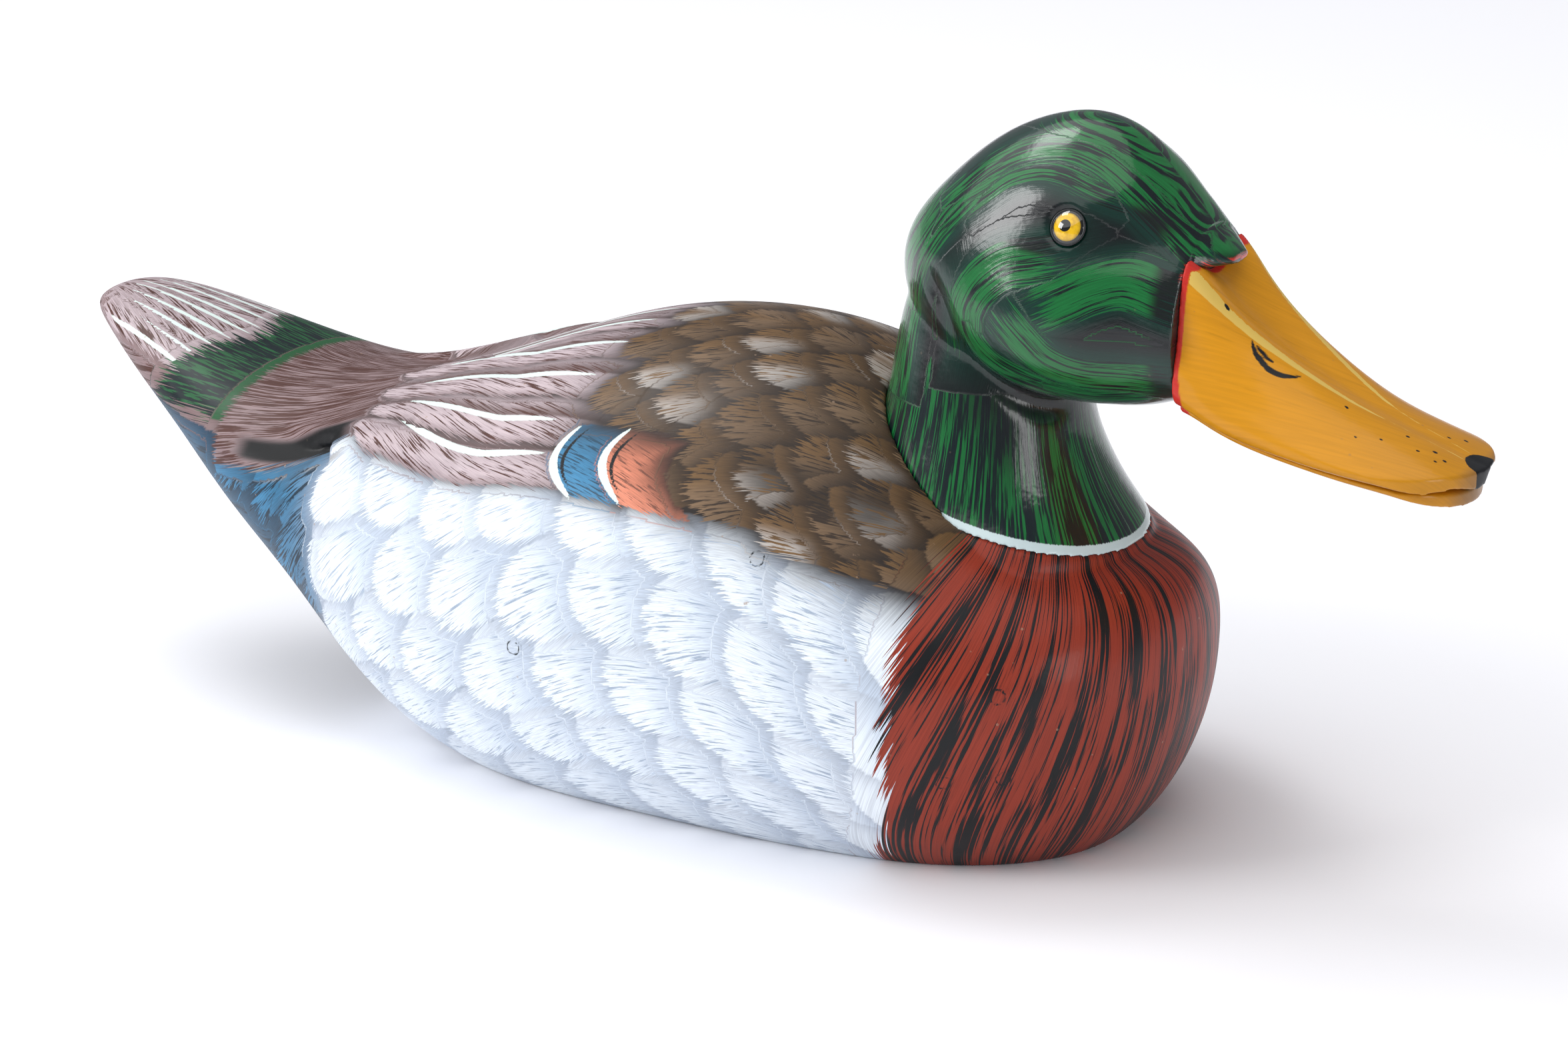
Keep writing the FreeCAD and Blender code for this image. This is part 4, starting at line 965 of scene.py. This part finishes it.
def build_plugs(co, quads, normals, layers):
    """Ends of the filled fastener holes: discs that carry the paint on, with a cracked rim."""
    corners, faces = node_arrays("flank_plugs")
    pairs = np.array([(face[i - 1], face[i]) for face in faces for i in range(len(face))])
    pairs = np.concatenate([pairs, pairs[:, ::-1]])
    label = island_labels(len(corners), pairs)
    cracks = np.full(len(co), NO_LINE)
    for name in np.unique(label):
        plug = corners[label == name]
        outer = plug[np.abs(plug[:, 1]) > np.abs(plug[:, 1]).max() - 2]
        away = np.linalg.norm(co - outer.mean(axis=0), axis=1)
        cracks = np.maximum(cracks, np.where(away < 3, 0.22 - np.abs(away - PLUG_RADIUS), NO_LINE))
    shown = dict(layers)
    field = layers["field"].copy()
    field[:, 2] = cracks
    shown["field"] = field
    keep = (cracks[quads] > -2.2).all(axis=1)
    lifted = co + 0.06 * normals
    piece = make_piece("plug_ends", lifted, quads, body_paint, shown, normals, keep)
    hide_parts("flank_plugs")


def build_body():
    corners, faces = node_arrays("body_upper", "body_lower", "flank_plugs")
    co, quads = outer_skin(*remeshed(corners, faces, VOXEL_BODY))
    co = softened(co, quads, 5, smooth(co[:, 2], 0.6, 3.0))
    co[:, 2] = np.maximum(co[:, 2], 0.0)
    normals = vertex_normals(co, quads)
    canvas = paint_body(co, normals, girth_table(co, quads))
    layers = canvas.layers(co[:, 1])
    middle = co[quads].mean(axis=1)
    upper = middle[:, 2] > spine(middle[:, 0]) + 2
    right = middle[:, 1] < 0
    for name, keep, node in (
        ("back_right", upper & right, None),
        ("back_left", upper & ~right, "body_upper"),
        ("hull", ~upper, "body_lower"),
    ):
        piece = make_piece(name, co, quads, body_paint, layers, normals, keep)
        if node:
            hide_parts(node)
    build_plugs(co, quads, normals, layers)


def build_head():
    corners, faces = node_arrays("head", "eye_putty", "eye_right", "eye_left")
    co, quads = outer_skin(*remeshed(corners, faces, VOXEL_HEAD))
    above_seat = co[:, 2] - (SEAT_HEIGHT - SEAT_SLOPE * co[:, 0])
    free = smooth(FACE_X - co[:, 0], 0, 2) * smooth(above_seat, 0.5, 2)
    co = softened(co, quads, 12, free)
    co = shape_head(co, quads)
    co = softened(co, quads, 6, free)
    canvas = paint_head(co)
    piece = make_piece("head_carving", co, quads, head_paint,
                       canvas.layers(co[:, 1]), vertex_normals(co, quads))
    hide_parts("head")


def build_bill():
    for node, name, lower in (
        ("upper_bill", "bill_upper_carving", False),
        ("lower_bill", "bill_lower_carving", True),
    ):
        corners, faces = node_arrays(node)
        co, quads = outer_skin(*remeshed(corners, faces, VOXEL_BILL))
        co = softened(co, quads, 6, smooth(co[:, 0], 127.6, 129))
        canvas = paint_bill(co, lower)
        piece = make_piece(name, co, quads, bill_paint,
                           canvas.layers(co[:, 1]), vertex_normals(co, quads))
        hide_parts(node)


EYE_RADIUS, EYE_RISE = 4.0, 1.5
EYE_TILT = math.radians(23)


def eye_frame(side):
    """Centre of an eye, in mm, and the turn that faces it out and a little up."""
    outward = Vector((0.08, side * math.cos(EYE_TILT), math.sin(EYE_TILT))).normalized()
    return Vector((EYE[0], side * EYE[1], EYE[2])), outward.to_track_quat("Z", "Y").to_matrix()


def build_eye(side, node):
    """Glass dome in a sunk rim of putty; its field is the distance from the pupil and the middle."""
    centre, turn = eye_frame(side)
    rings, around = 24, 72
    co, field = [], []
    for ring in range(rings + 1):
        radius = EYE_RADIUS * ring / rings
        rise = EYE_RISE * (1 - (radius / EYE_RADIUS) ** 2)
        for k in range(around):
            angle = 2 * math.pi * k / around
            local = Vector((radius * math.cos(angle), radius * math.sin(angle), rise))
            co.append(tuple(centre + turn @ local))
            pupil = math.hypot(local.x + 0.3, local.y - 0.2)
            field.append((pupil, radius, rise))
    quads = [(r * around + k, r * around + (k + 1) % around, (r + 1) * around + (k + 1) % around,
              (r + 1) * around + k) for r in range(rings) for k in range(around)]
    piece = make_piece(node + "_glass", np.array(co), quads, eye_glass,
                       {"field": np.array(field)})
    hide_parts(node)


def build_putty():
    """Rounded bead of putty round each glass eye."""
    around, across = 96, 12
    radius, thickness = 4.05, 0.30
    for side, name in ((-1, "putty_ring_right"), (1, "putty_ring_left")):
        centre, turn = eye_frame(side)
        co = []
        for k in range(around):
            angle = 2 * math.pi * k / around
            for j in range(across):
                bend = 2 * math.pi * j / across
                reach = radius + thickness * math.cos(bend)
                local = Vector((reach * math.cos(angle), reach * math.sin(angle),
                                -0.1 + thickness * math.sin(bend)))
                co.append(tuple(centre + turn @ local))
        quads = [(k * across + j, (k + 1) % around * across + j,
                  (k + 1) % around * across + (j + 1) % across, k * across + (j + 1) % across)
                 for k in range(around) for j in range(across)]
        piece = make_piece(name, np.array(co), quads, putty_paint)
        if side > 0:
            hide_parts("eye_putty")


build_body()
build_head()
build_bill()
build_eye(-1, "eye_right")
build_eye(1, "eye_left")
build_putty()

# CAD nodes that are shown as they are.
CAD_FINISHES = {
    "eye_wires": brass, "neck_dowel": beech, "body_pins": beech, "bill_dowel": beech,
    "neck_screw": steel, "neck_washer": steel, "ballast_screws": brass, "ballast_weight": lead,
    "line_tie_staple": brass, "line_tie_ring": brass,
}
for node, material in CAD_FINISHES.items():
    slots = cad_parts[node].material_slots
    for slot in slots:
        slot.material = material
    if not slots:
        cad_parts[node].data.materials.append(material)


# ---- stage

def build_stage():
    """Pale, dull floor."""
    mesh = bpy.data.meshes.new("floor")
    half = 6.0
    corners = [(-half, -half, 0), (half, -half, 0), (half, half, 0), (-half, half, 0)]
    mesh.from_pydata(corners, [], [(0, 1, 2, 3)])
    floor = linked("floor", mesh)
    tree = NodeTree("floor")
    tree.set(base_color=(0.92, 0.92, 0.95, 1), roughness=0.8, specular_ior_level=0.1)
    mesh.materials.append(tree.material)


def softbox(name, place, target, width, height, power):
    """Rectangular light that faces a target."""
    light = bpy.data.lights.new(name, "AREA")
    light.shape = "RECTANGLE"
    light.size, light.size_y = width, height
    light.energy = power
    lamp = linked(name, light)
    lamp.location = place
    lamp.rotation_euler = (Vector(target) - Vector(place)).to_track_quat("-Z", "Y").to_euler()


def soft_sun(name, direction, strength, spread):
    """Even light from a wide patch of the sky; spread is its angle in degrees."""
    light = bpy.data.lights.new(name, "SUN")
    light.energy = strength
    light.angle = math.radians(spread)
    lamp = linked(name, light)
    lamp.rotation_euler = Vector(direction).to_track_quat("Z", "Y").to_euler()


def build_camera():
    """Camera of the photo: off the decoy's right side, a little ahead of it and above it."""
    azimuth, elevation, distance = math.radians(30.5), math.radians(19.0), 1.12
    target = Vector((0.012, 0, 0.063))
    back = Vector((math.sin(azimuth) * math.cos(elevation), -math.cos(azimuth) * math.cos(elevation),
                   math.sin(elevation)))
    camera = bpy.data.cameras.new("camera")
    camera.sensor_width = 36
    camera.lens = 102.857
    holder = linked("camera", camera)
    holder.location = target + back * distance
    holder.rotation_euler = back.to_track_quat("Z", "Y").to_euler()
    bpy.context.scene.camera = holder


build_stage()
build_camera()
softbox("left", (-1.0, -1.0, 0.75), (0, 0, 0.07), 0.6, 0.6, 10)
softbox("right", (1.5, -0.55, 0.5), (0.05, 0, 0.08), 0.45, 0.8, 5)
softbox("overhead", (-0.55, 0.1, 1.1), (0, 0, 0.06), 0.45, 0.45, 3.5)
soft_sun("ceiling", (-0.35, -0.25, 1.0), 2.1, 100)
world = bpy.data.worlds.new("studio")
world.use_nodes = True
world.node_tree.nodes["Background"].inputs["Color"].default_value = (0.93, 0.94, 1.0, 1)
world.node_tree.nodes["Background"].inputs["Strength"].default_value = 0.26
bpy.context.scene.world = world
bpy.context.scene.view_settings.view_transform = "Standard"
